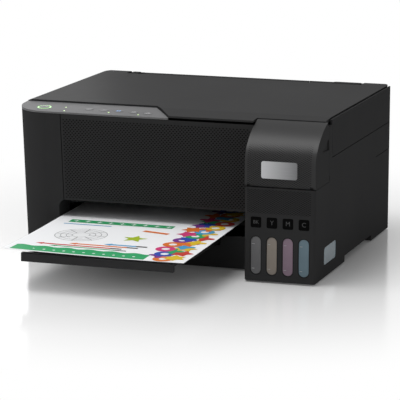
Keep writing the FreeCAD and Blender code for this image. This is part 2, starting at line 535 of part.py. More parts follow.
# back edge round about the hinge axis
tail = box(-WIDTH, WIDTH, ax_y, DEPTH, 0, HEIGHT + 1)
lid = lid.cut(tail.cut(rod(HINGE_R, (-WIDTH, ax_y, ax_z), (WIDTH, ax_y, ax_z))))
lid = lid.cut(box(-WIDTH, WIDTH, ax_y, DEPTH, 0, ax_z))
PAD = (GLASS[0] + 2, GLASS[1] - 2, GLASS[2] + 4, GLASS[3] - 2)
PAD_TOP = HEIGHT - 3.0
lid = lid.cut(rounded(-side_x + 4, side_x - 4, PAD[2] - 1, COVER_CUT_Y - 4, 0, PAD_TOP, 3))
for side in (-1, 1):
    x0, x1 = sorted((side * (EAR_X[0] - 0.8), side * (EAR_X[1] + 0.3)))
    lid = lid.cut(rod(HINGE_R - 0.9, (x0, ax_y, ax_z), (x1, ax_y, ax_z)))
    lid = lid.cut(box(x0, x1, ax_y - HINGE_R + 0.9, DEPTH, 0, ax_z))
    k0, k1 = sorted((side * KNUCKLE_X[0], side * KNUCKLE_X[1]))
    lid = lid.fuse(rod(HINGE_R - 1, (k0, ax_y, ax_z), (k1, ax_y, ax_z)))
    lid = lid.cut(rod(PIN_R + PIN_CLEAR, (side * 100, ax_y, ax_z), (side * 176, ax_y, ax_z)))
parts["document_cover"] = lid.removeSplitter()
parts["cover_pad"] = rounded(PAD[0], PAD[1], PAD[2], PAD[3], SCAN_TOP + 0.4, PAD_TOP, 4)

# ---------------------------------------------------------------- rear housing
rear = body_block(0, REAR_SEAM_Z + SEAM / 2, SEAM_Z).cut(
    body_block(WALL, REAR_SEAM_Z, SEAM_Z + 1))
rear = rear.common(box(-WIDTH, WIDTH, REAR_SEAM_Y, DEPTH, 0, HEIGHT))
STRIP_TOP = 177.4
tower = box(-HOUSE_X, HOUSE_X, SCAN_BACK + 1, BACK_Y, SEAM_Z - 3, STRIP_TOP)
tower = tower.cut(box(-HOUSE_X + WALL, HOUSE_X - WALL, SCAN_BACK + 1 + WALL, BACK_Y - WALL, 0,
                      STRIP_TOP - WALL))
tower = tower.cut(box(-WIDTH, WIDTH, 0, COVER_CUT_Y + 1.2, SCAN_TOP - 8, HEIGHT))
feed_half = PAPER_W / 2 + 3.5
feed_x = (PAPER_X - feed_half, PAPER_X + feed_half)
tower = tower.cut(box(feed_x[0] - 2.5, feed_x[1] + 2.5, 0, BACK_Y - WALL, SCAN_TOP - 8, HEIGHT))
tower = tower.cut(box(feed_x[0], feed_x[1], 0, DEPTH, 160, HEIGHT))
tower = tower.cut(box(feed_x[0] - 2.5, feed_x[1] + 2.5, 0, SCAN_BACK + 4, 0, HEIGHT))
for x0, x1 in ((-149.0, feed_x[0] - 3), (114.0, 149.0)):
    tower = tower.fuse(rounded(x0, x1, COVER_CUT_Y + 5, BACK_Y - 4, STRIP_TOP - 1, STRIP_TOP + 1.2, 3))
rear = rear.fuse(tower)
for side in (-1, 1):
    start = side * (HOUSE_X - 1)
    rear = rear.fuse(rod(PIN_R, (start, ax_y, ax_z), (side * (EAR_X[1] - 1.8), ax_y, ax_z)))
# flanges by which it sits on the lower casing
flange = body_block(WALL, 90, REAR_SEAM_Z + 4).cut(body_block(2 * WALL, 90, REAR_SEAM_Z + 4))
rear = rear.fuse(flange.common(box(-WIDTH, WIDTH, REAR_SEAM_Y + 1, DEPTH, 0, HEIGHT)))
parts["rear_housing"] = rear.removeSplitter()

# ---------------------------------------------------------------- sheet feeder
FACE = -2.3                 # sheet face of the feeder, ahead of the support's face
cheek_x = (feed_x[0] - 2.2, feed_x[1])
base_plate = feed_slab(feed_x[0], feed_x[1], -82, -7, FACE, FACE + 2)
roller_r = 14.0
face_y, face_z = feed_point(-88, FACE)
PICKUP = (face_y - (roller_r + GAP) * COS_F, face_z + (roller_r + GAP) * SIN_F)
inner_back = BACK_Y - WALL
for x in cheek_x:
    cheek = prism_x([(98, 98), (160, 98), (inner_back, 107), (inner_back, 158), (162.5, 169), (157.5, 169),
                     (143.5, 140), (143.5, 131), (120, 124), (98, 118)], x, x + 2.2)
    cheek = cheek.cut(rod(SHAFT_R + PIN_CLEAR, (x - 1, *PICKUP), (x + 4, *PICKUP)))
    base_plate = base_plate.fuse(cheek)
base_plate = base_plate.cut(box(-40, -14, 0, DEPTH, 90, 116))
parts["feeder_base"] = base_plate.removeSplitter()
pickup = rod(roller_r - 3, (PAPER_X - 34, *PICKUP), (PAPER_X + 34, *PICKUP))
pickup = pickup.fuse(rod(SHAFT_R, (cheek_x[0] - 2, *PICKUP), (cheek_x[1] + 4, *PICKUP)))
for x in (PAPER_X - 32, PAPER_X - 6, PAPER_X + 20):
    pickup = pickup.fuse(rod(roller_r, (x, *PICKUP), (x + 12, *PICKUP)))
parts["pickup_roller"] = pickup.removeSplitter()

top_a = (SUPPORT_TOP - SUPPORT_LINE[1]) / COS_F
s0, s1 = feed_x[0] + GAP + 0.3, feed_x[1] - GAP - 0.3
support = feed_slab(s0, s1, top_a - SUPPORT_L, top_a, 0, 3)
cap_strip = prism_x([(COVER_CUT_Y + 1.2, STRIP_TOP - 2), (SUPPORT_LINE[0] + 1.8, STRIP_TOP - 2),
                     (SUPPORT_LINE[0] + 3, STRIP_TOP), (COVER_CUT_Y + 1.2, STRIP_TOP)], s0, s1)
support = support.fuse(cap_strip)
for index in range(5):
    x = s0 + 30 + index * 36
    support = support.cut(feed_slab(x, x + 3, top_a - 60, top_a - 12, -1, 0.8))
parts["paper_support"] = support.removeSplitter()
ext_top = top_a - 18
extension = feed_slab(s0 + 8, s1 - 8, ext_top - 84, ext_top, 3.3, 5.8)
extension = extension.cut(feed_slab(PAPER_X - 20, PAPER_X + 20, ext_top - 7, ext_top + 5, 3, 4.6))
parts["support_extension"] = extension.removeSplitter()
GUIDE_L = 30.0
for name, side in (("edge_guide_left", -1), ("edge_guide_right", 1)):
    face = PAPER_X + side * (PAPER_W / 2 + 0.4)
    x0, x1 = sorted((face, face + side * 1.8))
    foot0, foot1 = sorted((face + side * 1.8, face - side * 16))
    guide = feed_slab(x0, x1, -44, -44 + GUIDE_L, FACE - 7.5, FACE - GAP)
    guide = guide.fuse(feed_slab(foot0, foot1, -44, -36, FACE - 1.5, FACE - GAP))
    parts[name] = guide.removeSplitter()

# ---------------------------------------------------------------- print engine
frame_z = (FOOT_H + WALL, BEAM_Z[1])
frame = box(FRAME_X[0], FRAME_X[1], BEAM_Y, BEAM_Y + FRAME_T, BEAM_Z[0], BEAM_Z[1])
for x in (FRAME_X[0] - FRAME_T, FRAME_X[1]):
    frame = frame.fuse(box(x, x + FRAME_T, -90, 24, frame_z[0], frame_z[1]))
feed_axis = (FEED_ROLLER_Y, sheet_z(FEED_ROLLER_Y) - FEED_ROLLER_R - GAP)
eject_axis = (EJECT_ROLLER_Y, sheet_z(EJECT_ROLLER_Y) - EJECT_ROLLER_R - GAP)
for axis in (feed_axis, eject_axis):
    frame = frame.cut(rod(SHAFT_R + PIN_CLEAR, (-WIDTH, *axis), (WIDTH, *axis)))
for x in PULLEY_X:
    frame = frame.cut(rod(1.5 + PIN_CLEAR, (x, 0, BELT_Z), (x, 60, BELT_Z)))
parts["main_frame"] = frame.removeSplitter()

shaft_x = (FRAME_X[0] - FRAME_T - 3, FRAME_X[1] + FRAME_T + 3)
roll_x = (PAPER_X - 113, PAPER_X + 113)
roller = rod(FEED_ROLLER_R, (roll_x[0], *feed_axis), (roll_x[1], *feed_axis))
roller = roller.fuse(rod(SHAFT_R, (shaft_x[0], *feed_axis), (shaft_x[1], *feed_axis)))
PULLEY_W = 6.0
DRIVE_R = 9.0
drive_x = FRAME_X[0] + 6
roller = roller.fuse(rod(DRIVE_R, (drive_x, *feed_axis), (drive_x + PULLEY_W, *feed_axis)))
parts["feed_roller"] = roller.removeSplitter()
eject = rod(SHAFT_R, (shaft_x[0], *eject_axis), (shaft_x[1], *eject_axis))
for index in range(6):
    x = roll_x[0] + 16 + index * 36
    eject = eject.fuse(rod(EJECT_ROLLER_R, (x, *eject_axis), (x + 14, *eject_axis)))
EJECT_DRIVE_R = DRIVE_R * EJECT_ROLLER_R / FEED_ROLLER_R
eject = eject.fuse(rod(EJECT_DRIVE_R, (drive_x, *eject_axis), (drive_x + PULLEY_W, *eject_axis)))
parts["eject_roller"] = eject.removeSplitter()


def belt_loop(a, b, ra, rb, x0, x1, thickness):
    """Belt round two wheels whose axes run along X: convex hull of two discs."""
    (ay, az), (by, bz) = a, b
    span = math.hypot(by - ay, bz - az)
    heading = math.atan2(bz - az, by - ay)
    lift = math.acos((ra - rb) / span)

    def hull(extra):
        rim = []
        for cy_, cz_, r, t in ((ay, az, ra, heading + lift), (by, bz, rb, heading + lift),
                               (by, bz, rb, heading - lift), (ay, az, ra, heading - lift)):
            rim.append((cy_ + (r + extra) * math.cos(t), cz_ + (r + extra) * math.sin(t)))
        solid = prism_x(rim, x0, x1)
        return solid.fuse([rod(ra + extra, (x0, ay, az), (x1, ay, az)),
                           rod(rb + extra, (x0, by, bz), (x1, by, bz))]).removeSplitter()

    return hull(0.1 + thickness).cut(hull(0.1))


parts["roller_belt"] = belt_loop(eject_axis, feed_axis, EJECT_DRIVE_R, DRIVE_R, drive_x + 0.5,
                                 drive_x + PULLEY_W - 0.5, 1.2)
MOTOR_AXIS = (44.0, 36.0)
motor = rod(15, (FRAME_X[0] + 0.5, *MOTOR_AXIS), (FRAME_X[0] + 32, *MOTOR_AXIS))
motor = motor.fuse(box(FRAME_X[0] + 4, FRAME_X[0] + 28, MOTOR_AXIS[0] - 12, MOTOR_AXIS[0] + 12,
                       FOOT_H + WALL, MOTOR_AXIS[1] - 5))
parts["feed_motor"] = motor.removeSplitter()

platen_z = sheet_z(-60) - 3.5
platen_x = (PAPER_X - 111, PAPER_X + 111)
platen = box(platen_x[0], platen_x[1], -66, -24, platen_z - 4, platen_z)
for index in range(13):
    x = platen_x[0] + 6 + index * 17.3
    platen = platen.fuse(box(x, x + 2.2, -65, -25, platen_z, sheet_z(-65) - 0.6))
for x0, x1 in ((FRAME_X[0], platen_x[0]), (platen_x[1], FRAME_X[1])):
    platen = platen.fuse(box(x0, x1, -60, -52, platen_z - 4, platen_z - 1))
parts["platen"] = platen.removeSplitter()

station = rounded(92, 136, -50, -22, platen_z - 14, platen_z + 1, 3)
station = station.fuse(rounded(98, 130, -48, -26, platen_z + 1, platen_z + 3, 2))
legs = box(96, 132, -48, -24, FOOT_H + WALL + 11, platen_z - 14)
parts["capping_station"] = station.fuse(legs).removeSplitter()

c0, c1 = CARRIAGE_X - CARRIAGE_W / 2, CARRIAGE_X + CARRIAGE_W / 2
carriage = box(c0, c1, -64, -0.2, 62, 112)
carriage = carriage.makeFillet(4, [e for e in carriage.Edges if e.BoundBox.ZLength > 40
                                   and e.BoundBox.YMax < -60])
carriage = carriage.cut(box(c0 + 3, c1 - 3, -61, -3, 80, 113))
hook = box(c0 + 6, c1 - 6, -3, 14, BEAM_Z[1] + GAP, BEAM_Z[1] + 3)
hook = hook.fuse([box(c0 + 6, c1 - 6, BEAM_Y + FRAME_T + GAP, 14, 108, BEAM_Z[1] + 3),
                  box(c0 + 6, c1 - 6, -3, -0.2, 111, BEAM_Z[1] + 3)])
parts["carriage"] = carriage.fuse(hook).removeSplitter()
parts["print_head"] = box(c0 + 10, c1 - 10, -58, -14, 55.5, 62)

ba, bb = (PULLEY_X[0], BELT_Z), (PULLEY_X[1], BELT_Z)
outer = PULLEY_R + 0.1 + 1.0
inner = PULLEY_R + 0.1
loops = []
for r in (outer, inner):
    slab = box(ba[0], bb[0], BELT_Y[0], BELT_Y[1], BELT_Z - r, BELT_Z + r)
    loops.append(slab.fuse([rod(r, (x, BELT_Y[0], BELT_Z), (x, BELT_Y[1], BELT_Z))
                            for x in PULLEY_X]).removeSplitter())
parts["carriage_belt"] = loops[0].cut(loops[1])
for name, x, far in (("idler_pulley", PULLEY_X[0], BEAM_Y + FRAME_T + 2),
                     ("motor_pulley", PULLEY_X[1], BEAM_Y + FRAME_T + 12)):
    wheel = rod(PULLEY_R, (x, BELT_Y[0], BELT_Z), (x, BELT_Y[1], BELT_Z))
    wheel = wheel.fuse([rod(PULLEY_R + 2.4, (x, BELT_Y[0] - 1.2, BELT_Z), (x, BELT_Y[0] - 0.2, BELT_Z)),
                        rod(1.5, (x, BELT_Y[0] - 1.2, BELT_Z), (x, far, BELT_Z))])
    wheel = wheel.fuse(rod(PULLEY_R, (x, BELT_Y[0] - 0.3, BELT_Z), (x, BELT_Y[0], BELT_Z)))
    parts[name] = wheel.removeSplitter()
can = rod(14, (PULLEY_X[1], BEAM_Y + FRAME_T, BELT_Z), (PULLEY_X[1], 42, BELT_Z))
can = can.cut(rod(1.5 + PIN_CLEAR, (PULLEY_X[1], 0, BELT_Z), (PULLEY_X[1], 30, BELT_Z)))
parts["carriage_motor"] = can

# ---------------------------------------------------------------- sheet and tray
sheet_x = (PAPER_X - PAPER_W / 2, PAPER_X + PAPER_W / 2)
run = PAPER_L * math.cos(math.atan(PAPER_SLOPE))
y_end = PAPER_FRONT + run
parts["printed_sheet"] = prism_x([(PAPER_FRONT, PAPER_FRONT_Z), (y_end, sheet_z(y_end)),
                                  (y_end, sheet_z(y_end) + PAPER_T),
                                  (PAPER_FRONT, PAPER_FRONT_Z + PAPER_T)], *sheet_x)
tray = box(TRAY_X[0], TRAY_X[1], TRAY_Y[0], TRAY_Y[1], TRAY_Z, TRAY_Z + 2)
rail_top = TRAY_Z + 4.4
for x0, x1 in ((TRAY_X[0], TRAY_X[0] + 4), (TRAY_X[1] - 4, TRAY_X[1])):
    tray = tray.fuse(box(x0, x1, TRAY_Y[0], TRAY_Y[1], TRAY_Z, rail_top))
parts["output_tray"] = tray.removeSplitter()
leaf = box(TRAY_X[0] + 4 + GAP, TRAY_X[1] - 4 - GAP, EXT_FRONT + 4, EXT_BACK, TRAY_Z + 2 + GAP, rail_top)
for index in range(7):
    x = TRAY_X[0] + 22 + index * 22
    leaf = leaf.cut(box(x, x + 2, EXT_FRONT + 14, EXT_BACK - 10, rail_top - 0.8, HEIGHT))
lip = box(TRAY_X[0], TRAY_X[1], EXT_FRONT, EXT_FRONT + 6, LIP_Z[0], LIP_Z[1])
lip = lip.makeFillet(1.2, [e for e in lip.Edges if e.BoundBox.XLength > 100
                           and e.BoundBox.YMax < EXT_FRONT + 1])
parts["tray_extension"] = leaf.fuse(lip).removeSplitter()

# ---------------------------------------------------------------- feet
feet = [rod(8, (x, y, 0), (x, y, FOOT_H)) for x, y in
        ((-160, -95), (-160, 150), (160, 150), (150, -158))]
parts["rubber_feet"] = Part.makeCompound(feet)

os.makedirs("parts", exist_ok=True)
for name, shape in parts.items():
    placed = shape.copy()
    placed.translate(V(0, ROW_SHIFT_Y, 0))
    placed.exportStep("parts/%s.step" % name)
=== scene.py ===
import math
import random

import bmesh
import bpy
from mathutils import Matrix, Vector


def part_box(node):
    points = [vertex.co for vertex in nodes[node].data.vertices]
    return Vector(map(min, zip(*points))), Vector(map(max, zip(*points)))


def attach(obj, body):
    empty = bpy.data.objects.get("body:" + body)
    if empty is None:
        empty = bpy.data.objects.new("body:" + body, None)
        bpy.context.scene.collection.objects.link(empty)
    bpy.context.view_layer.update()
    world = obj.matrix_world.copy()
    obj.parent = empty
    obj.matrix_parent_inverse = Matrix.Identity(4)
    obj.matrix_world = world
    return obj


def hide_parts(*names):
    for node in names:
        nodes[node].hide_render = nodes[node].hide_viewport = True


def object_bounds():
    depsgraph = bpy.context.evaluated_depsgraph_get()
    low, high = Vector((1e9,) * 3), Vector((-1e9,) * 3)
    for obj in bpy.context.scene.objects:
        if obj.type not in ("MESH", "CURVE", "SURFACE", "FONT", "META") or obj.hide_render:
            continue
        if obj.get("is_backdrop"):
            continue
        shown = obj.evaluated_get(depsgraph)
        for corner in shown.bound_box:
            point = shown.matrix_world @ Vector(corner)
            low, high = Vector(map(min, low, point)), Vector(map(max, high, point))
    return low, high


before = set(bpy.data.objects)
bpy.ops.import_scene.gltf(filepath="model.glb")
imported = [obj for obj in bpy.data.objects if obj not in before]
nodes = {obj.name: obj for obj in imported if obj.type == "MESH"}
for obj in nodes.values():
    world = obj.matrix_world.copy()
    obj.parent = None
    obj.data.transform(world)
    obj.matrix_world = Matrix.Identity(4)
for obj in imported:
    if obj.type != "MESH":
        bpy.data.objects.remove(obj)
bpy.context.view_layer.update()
MM = 0.001

# ------------------------------------------------------------------ black casing
# The lower case, rear housing, scanner tray, bezel and feeder parts are injection
# moulded in black styrene with a fine spark-eroded grain, and they snap and screw
# together. Their edges are slightly soft, as the tool leaves them.


class Link:
    """One shader socket, so that arithmetic on it adds Math nodes."""

    def __init__(self, paint, socket):
        self.paint = paint
        self.socket = socket

    def math(self, operation, first, second):
        return self.paint.node("ShaderNodeMath", {"operation": operation}, {0: first, 1: second})

    def __add__(self, other):
        return self.math("ADD", self, other)

    def __sub__(self, other):
        return self.math("SUBTRACT", self, other)

    def __rsub__(self, other):
        return self.math("SUBTRACT", other, self)

    def __mul__(self, other):
        return self.math("MULTIPLY", self, other)

    def __truediv__(self, other):
        return self.math("DIVIDE", self, other)

    def __gt__(self, other):
        return self.math("GREATER_THAN", self, other)

    def __lt__(self, other):
        return self.math("LESS_THAN", self, other)

    __radd__ = __add__
    __rmul__ = __mul__

    def fraction(self):
        return self.math("FRACT", self, 0.0)

    def floor(self):
        return self.math("FLOOR", self, 0.0)

    def size(self):
        return self.math("ABSOLUTE", self, 0.0)


class Paint:
    """A material with one Principled shader, built from links."""

    def __init__(self, name):
        self.material = bpy.data.materials.new(name)
        self.material.use_nodes = True
        self.tree = self.material.node_tree
        self.shader = self.tree.nodes["Principled BSDF"]
        self.place = self.node("ShaderNodeTexCoord", {}, {}, "Object")

    def node(self, kind, settings, inputs, output=0):
        made = self.tree.nodes.new(kind)
        for key, value in settings.items():
            setattr(made, key, value)
        for key, value in inputs.items():
            if isinstance(value, Link):
                self.tree.links.new(value.socket, made.inputs[key])
            else:
                made.inputs[key].default_value = value
        return Link(self, made.outputs[output])

    def set(self, **values):
        for key, value in values.items():
            socket = self.shader.inputs[key.replace("_", " ")]
            if isinstance(value, Link):
                self.tree.links.new(value.socket, socket)
            else:
                socket.default_value = value
        return self

    def noise(self, scale, detail=2.0):
        return self.node("ShaderNodeTexNoise", {}, {"Vector": self.place, "Scale": scale,
                                                    "Detail": detail})

    def axis(self, letter):
        return self.node("ShaderNodeSeparateXYZ", {}, {0: self.place}, "XYZ".index(letter))

    def mix(self, factor, first, second):
        return self.node("ShaderNodeMix", {"data_type": "RGBA"}, {0: factor, 6: first, 7: second}, 2)

    def relief(self, height, depth, edge=0.0):
        """Bump of that depth in metres, over edges rounded by edge."""
        inputs = {"Height": height, "Strength": 1.0, "Distance": depth}
        if edge > 0:
            inputs["Normal"] = self.node("ShaderNodeBevel", {"samples": 4}, {"Radius": edge})
        return self.node("ShaderNodeBump", {}, inputs)


def grey(level):
    return (level, level, level * 1.02, 1.0)


def moulded(name, level, rough, grain=0.00003, edge=0.0006, sheen=0.2, tint=(1.0, 1.0, 1.02)):
    """Grained moulding: colour drifts a little and the grain breaks up the weak sheen."""
    paint = Paint(name)
    cloud = paint.noise(9.0, 3.0)
    fine = paint.noise(1900.0, 2.0)
    dark = tuple(level * 0.86 * t for t in tint) + (1.0,)
    light = tuple(level * 1.14 * t for t in tint) + (1.0,)
    paint.set(Base_Color=paint.mix(cloud, dark, light))
    paint.set(Roughness=cloud * 0.07 + (fine * 0.10 + (rough - 0.085)))
    paint.set(Normal=paint.relief(fine, grain, edge))
    paint.set(Specular_IOR_Level=0.0, Coat_Weight=sheen, Coat_Roughness=rough)
    return paint


def coat(paint, *names):
    """Gives CAD nodes a finish."""
    for name in names:
        slots = nodes[name].data.materials
        slots.clear()
        slots.append(paint.material)


casing = moulded("casing_black", 0.030, 0.46, sheen=0.06)
coat(casing, "lower_case", "tank_housing", "rear_housing", "scanner_base", "scanner_bezel", "paper_support")
inner = moulded("inner_black", 0.014, 0.6, edge=0.0003, sheen=0.12)
coat(inner, "feeder_base", "support_extension", "edge_guide_left", "edge_guide_right", "platen",
     "capping_station", "scan_bar", "power_supply")

# ------------------------------------------------------------------ electronics
# The main board is green laminate with black chips and silver cans, and four pan-head
# screws hold it on the posts of the lower case.

board = Paint("board_laminate")
grid = (board.axis("X") * 400.0).fraction() > 0.72
tall = board.axis("Z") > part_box("mainboard")[0].z + 0.0018
green = board.mix(grid, (0.012, 0.09, 0.035, 1), (0.02, 0.14, 0.06, 1))
board.set(Base_Color=board.mix(tall, green, (0.02, 0.02, 0.022, 1)), Roughness=0.35)
coat(board, "mainboard")

steel = Paint("zinc_steel")
spangle = steel.node("ShaderNodeTexVoronoi", {}, {"Vector": steel.place, "Scale": 260.0}, "Distance")
steel.set(Base_Color=steel.mix(spangle, (0.42, 0.43, 0.45, 1), (0.62, 0.63, 0.65, 1)))
steel.set(Metallic=1.0, Roughness=spangle * 0.18 + 0.26)
coat(steel, "board_screws", "main_frame", "scan_rod", "idler_pulley", "motor_pulley",
     "carriage_motor", "feed_motor", "feed_roller", "print_head")

felt = Paint("waste_felt")
wool = felt.noise(700.0, 6.0)
felt.set(Base_Color=felt.mix(wool, (0.55, 0.55, 0.52, 1), (0.8, 0.8, 0.78, 1)), Roughness=0.95,
         Normal=felt.relief(wool, 0.0004))
coat(felt, "waste_ink_pad")

# ------------------------------------------------------------------ rubber parts
# Rollers, belts and feet are black rubber. The belts are toothed inside, and the
# rollers are ground to a matt face.

rubber = Paint("matt_rubber")
dust = rubber.noise(420.0, 4.0)
rubber.set(Base_Color=rubber.mix(dust, (0.012, 0.012, 0.012, 1), (0.032, 0.032, 0.031, 1)),
           Roughness=dust * 0.2 + 0.62, Normal=rubber.relief(dust, 0.00005, 0.0003))
coat(rubber, "eject_roller", "pickup_roller", "carriage_belt", "roller_belt", "rubber_feet")
coat(moulded("carriage_grey", 0.05, 0.5), "carriage")

# ------------------------------------------------------------------ front panel
# The panel is black styrene with a moulded field of small staggered dimples, drawn as flat studs painted
# near black as their shade.
# It clips to the bar behind it and leaves a shadow gap beside the corner column.

coat(moulded("panel_black", 0.022, 0.40), "front_panel")
panel_low, panel_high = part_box("front_panel")
DOT_PITCH = 4.1 * MM
DOT_ROW = 2.2 * MM
DOT_SIZE = 0.8 * MM
FACE_LEAN = 0.10
PANEL_EDGE = 2.2 * MM


def tree_with_inputs(name, inputs):
    """Geometry tree with one geometry output and the named inputs."""
    tree = bpy.data.node_groups.new(name, "GeometryNodeTree")
    tree.interface.new_socket("Geometry", in_out="OUTPUT", socket_type="NodeSocketGeometry")
    for key, (kind, value) in inputs.items():
        socket = tree.interface.new_socket(key, in_out="INPUT", socket_type=kind)
        if value is not None:
            socket.default_value = value
    return tree


def grow(name, tree, values, base=None):
    """Runs a geometry tree on an object and returns the result as a plain mesh object."""
    carrier = bpy.data.objects.new(name, base or bpy.data.meshes.new(name))
    bpy.context.scene.collection.objects.link(carrier)
    modifier = carrier.modifiers.new("grow", "NODES")
    modifier.node_group = tree
    for item in tree.interface.items_tree:
        if item.in_out == "INPUT" and item.name in values:
            modifier[item.identifier] = values[item.name]
    graph = bpy.context.evaluated_depsgraph_get()
    graph.update()
    made = bpy.data.meshes.new_from_object(carrier.evaluated_get(graph))
    carrier.modifiers.remove(modifier)
    carrier.data = made
    return carrier


def stud_grid(name, material, corners, turn):
    """Tree: small flat studs on a staggered grid that climbs a leaning face."""
    tree = tree_with_inputs(name, {
        "Columns": ("NodeSocketInt", 10), "Rows": ("NodeSocketInt", 10),
        "Pitch": ("NodeSocketFloat", 0.004), "Row": ("NodeSocketFloat", 0.002),
        "Stagger": ("NodeSocketFloat", 0.5), "Half Width": ("NodeSocketFloat", 0.001),
        "Half Height": ("NodeSocketFloat", 0.001), "Lean": ("NodeSocketFloat", 0.0),
        "Fade Rows": ("NodeSocketFloat", 1.0),
    })
    add = tree.nodes.new
    link = tree.links.new
    given = add("NodeGroupInput")
    result = add("NodeGroupOutput")

    def number(operation, first, second):
        step = add("ShaderNodeMath")
        step.operation = operation
        for slot, value in enumerate((first, second)):
            if isinstance(value, (int, float)):
                step.inputs[slot].default_value = value
            else:
                link(value, step.inputs[slot])
        return step.outputs[0]

    def vector(x, y, z):
        step = add("ShaderNodeCombineXYZ")
        for slot, value in enumerate((x, y, z)):
            if isinstance(value, (int, float)):
                step.inputs[slot].default_value = value
            else:
                link(value, step.inputs[slot])
        return step.outputs[0]

    points = add("GeometryNodePoints")
    link(number("MULTIPLY", given.outputs["Columns"], given.outputs["Rows"]), points.inputs["Count"])
    index = add("GeometryNodeInputIndex").outputs[0]
    row = number("FLOOR", number("DIVIDE", number("ADD", index, 0.5), given.outputs["Columns"]), 0.0)
    column = number("SUBTRACT", index, number("MULTIPLY", row, given.outputs["Columns"]))
    shift = number("MULTIPLY", number("MODULO", row, 2.0), given.outputs["Stagger"])
    place_x = number("MULTIPLY", number("ADD", column, shift), given.outputs["Pitch"])
    place_z = number("MULTIPLY", row, given.outputs["Row"])
    place_y = number("MULTIPLY", number("MULTIPLY", place_z, given.outputs["Lean"]), -1.0)
    link(vector(place_x, place_y, place_z), points.inputs["Position"])
    stud = add("GeometryNodeMeshCircle")
    stud.fill_type = "NGON"
    stud.inputs["Vertices"].default_value = corners
    stud.inputs["Radius"].default_value = 1.0
    spin = add("GeometryNodeTransform")
    spin.inputs["Rotation"].default_value = (0.0, 0.0, turn)
    link(stud.outputs[0], spin.inputs["Geometry"])
    stretch = add("GeometryNodeTransform")
    link(vector(given.outputs["Half Width"], given.outputs["Half Height"], 1.0),
         stretch.inputs["Scale"])
    link(spin.outputs[0], stretch.inputs["Geometry"])
    stand = add("GeometryNodeTransform")
    tilt = number("ADD", given.outputs["Lean"], math.pi / 2)
    link(vector(tilt, 0.0, 0.0), stand.inputs["Rotation"])
    link(stretch.outputs[0], stand.inputs["Geometry"])
    copies = add("GeometryNodeInstanceOnPoints")
    link(points.outputs[0], copies.inputs["Points"])
    link(stand.outputs[0], copies.inputs["Instance"])
    left = number("DIVIDE", number("SUBTRACT", given.outputs["Rows"], row), given.outputs["Fade Rows"])
    link(number("MINIMUM", left, 1.0), copies.inputs["Scale"])
    real = add("GeometryNodeRealizeInstances")
    link(copies.outputs[0], real.inputs[0])
    finish = add("GeometryNodeSetMaterial")
    finish.inputs["Material"].default_value = material
    link(real.outputs[0], finish.inputs[0])
    link(finish.outputs[0], result.inputs[0])
    return tree


# Painted shade: the dimples and dashes are flat studs a hair proud of the face, coloured near black for the
# shade in the hollows.
dimple = Paint("dimple_shadow")
dimple.set(Base_Color=dimple.mix(dimple.noise(60.0), grey(0.001), grey(0.003)), Roughness=0.7,
           Specular_IOR_Level=0.05)
dot_tree = stud_grid("dimple_field", dimple.material, 6, 0.0)
face_w = panel_high.x - panel_low.x - 2 * PANEL_EDGE
face_h = panel_high.z - panel_low.z - 3 * PANEL_EDGE
dots = grow("panel_dimples", dot_tree, {
    "Columns": int(face_w / DOT_PITCH), "Rows": int(face_h / DOT_ROW), "Pitch": DOT_PITCH,
    "Row": DOT_ROW, "Stagger": 0.5, "Half Width": DOT_SIZE * 1.4, "Half Height": DOT_SIZE,
    "Lean": FACE_LEAN,
})
foot_of_face = panel_low.y + FACE_LEAN * (panel_high.z - panel_low.z)
dots.data.transform(Matrix.Translation((panel_low.x + PANEL_EDGE + DOT_PITCH / 4,
                                        foot_of_face - 0.06 * MM - FACE_LEAN * PANEL_EDGE * 1.5,
                                        panel_low.z + 1.5 * PANEL_EDGE)))
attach(dots, "chassis")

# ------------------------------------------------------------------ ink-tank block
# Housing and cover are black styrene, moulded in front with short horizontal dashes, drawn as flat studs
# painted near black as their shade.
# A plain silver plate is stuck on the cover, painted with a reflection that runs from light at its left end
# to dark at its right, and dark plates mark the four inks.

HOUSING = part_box("tank_housing")
front_y = HOUSING[0].y
tank_black = moulded("tank_black", 0.024, 0.36, edge=0.0009, sheen=0.40)
# Painted shade: the coat thins on faces that look sideways, so the sides of the cover render darker than
# its front.
outward = tank_black.node("ShaderNodeTexCoord", {}, {}, "Normal")
sideways = tank_black.node("ShaderNodeSeparateXYZ", {}, {0: outward}, "X")
tank_black.set(Coat_Weight=0.42 - sideways.size() * 0.36)
coat(tank_black, "tank_cover")
FACE_STEP = 4.1 * MM
FACE_ROW = 1.2 * MM


def bezier(poles, part):
    """Point of a cubic curve."""
    a, b = 1.0 - part, part
    weights = (a * a * a, 3 * a * a * b, 3 * a * b * b, b * b * b)
    return tuple(sum(w * p[i] for w, p in zip(weights, poles)) for i in (0, 1))


def wrap(mesh, path, proud):
    """Bends a flat upright mesh so that its height runs along a (y, z) path."""
    lengths = [0.0]
    for p, q in zip(path, path[1:]):
        lengths.append(lengths[-1] + math.hypot(q[0] - p[0], q[1] - p[1]))
    for vertex in mesh.vertices:
        run = min(max(vertex.co.z, 0.0), lengths[-1] - 1e-6)
        step = max(i for i, at in enumerate(lengths[:-1]) if at <= run)
        (y0, z0), (y1, z1) = path[step], path[step + 1]
        span = lengths[step + 1] - lengths[step]
        part = (run - lengths[step]) / span
        across_y, across_z = -(z1 - z0) / span, (y1 - y0) / span
        vertex.co.y = y0 + (y1 - y0) * part + across_y * proud
        vertex.co.z = z0 + (z1 - z0) * part + across_z * proud
    mesh.update()
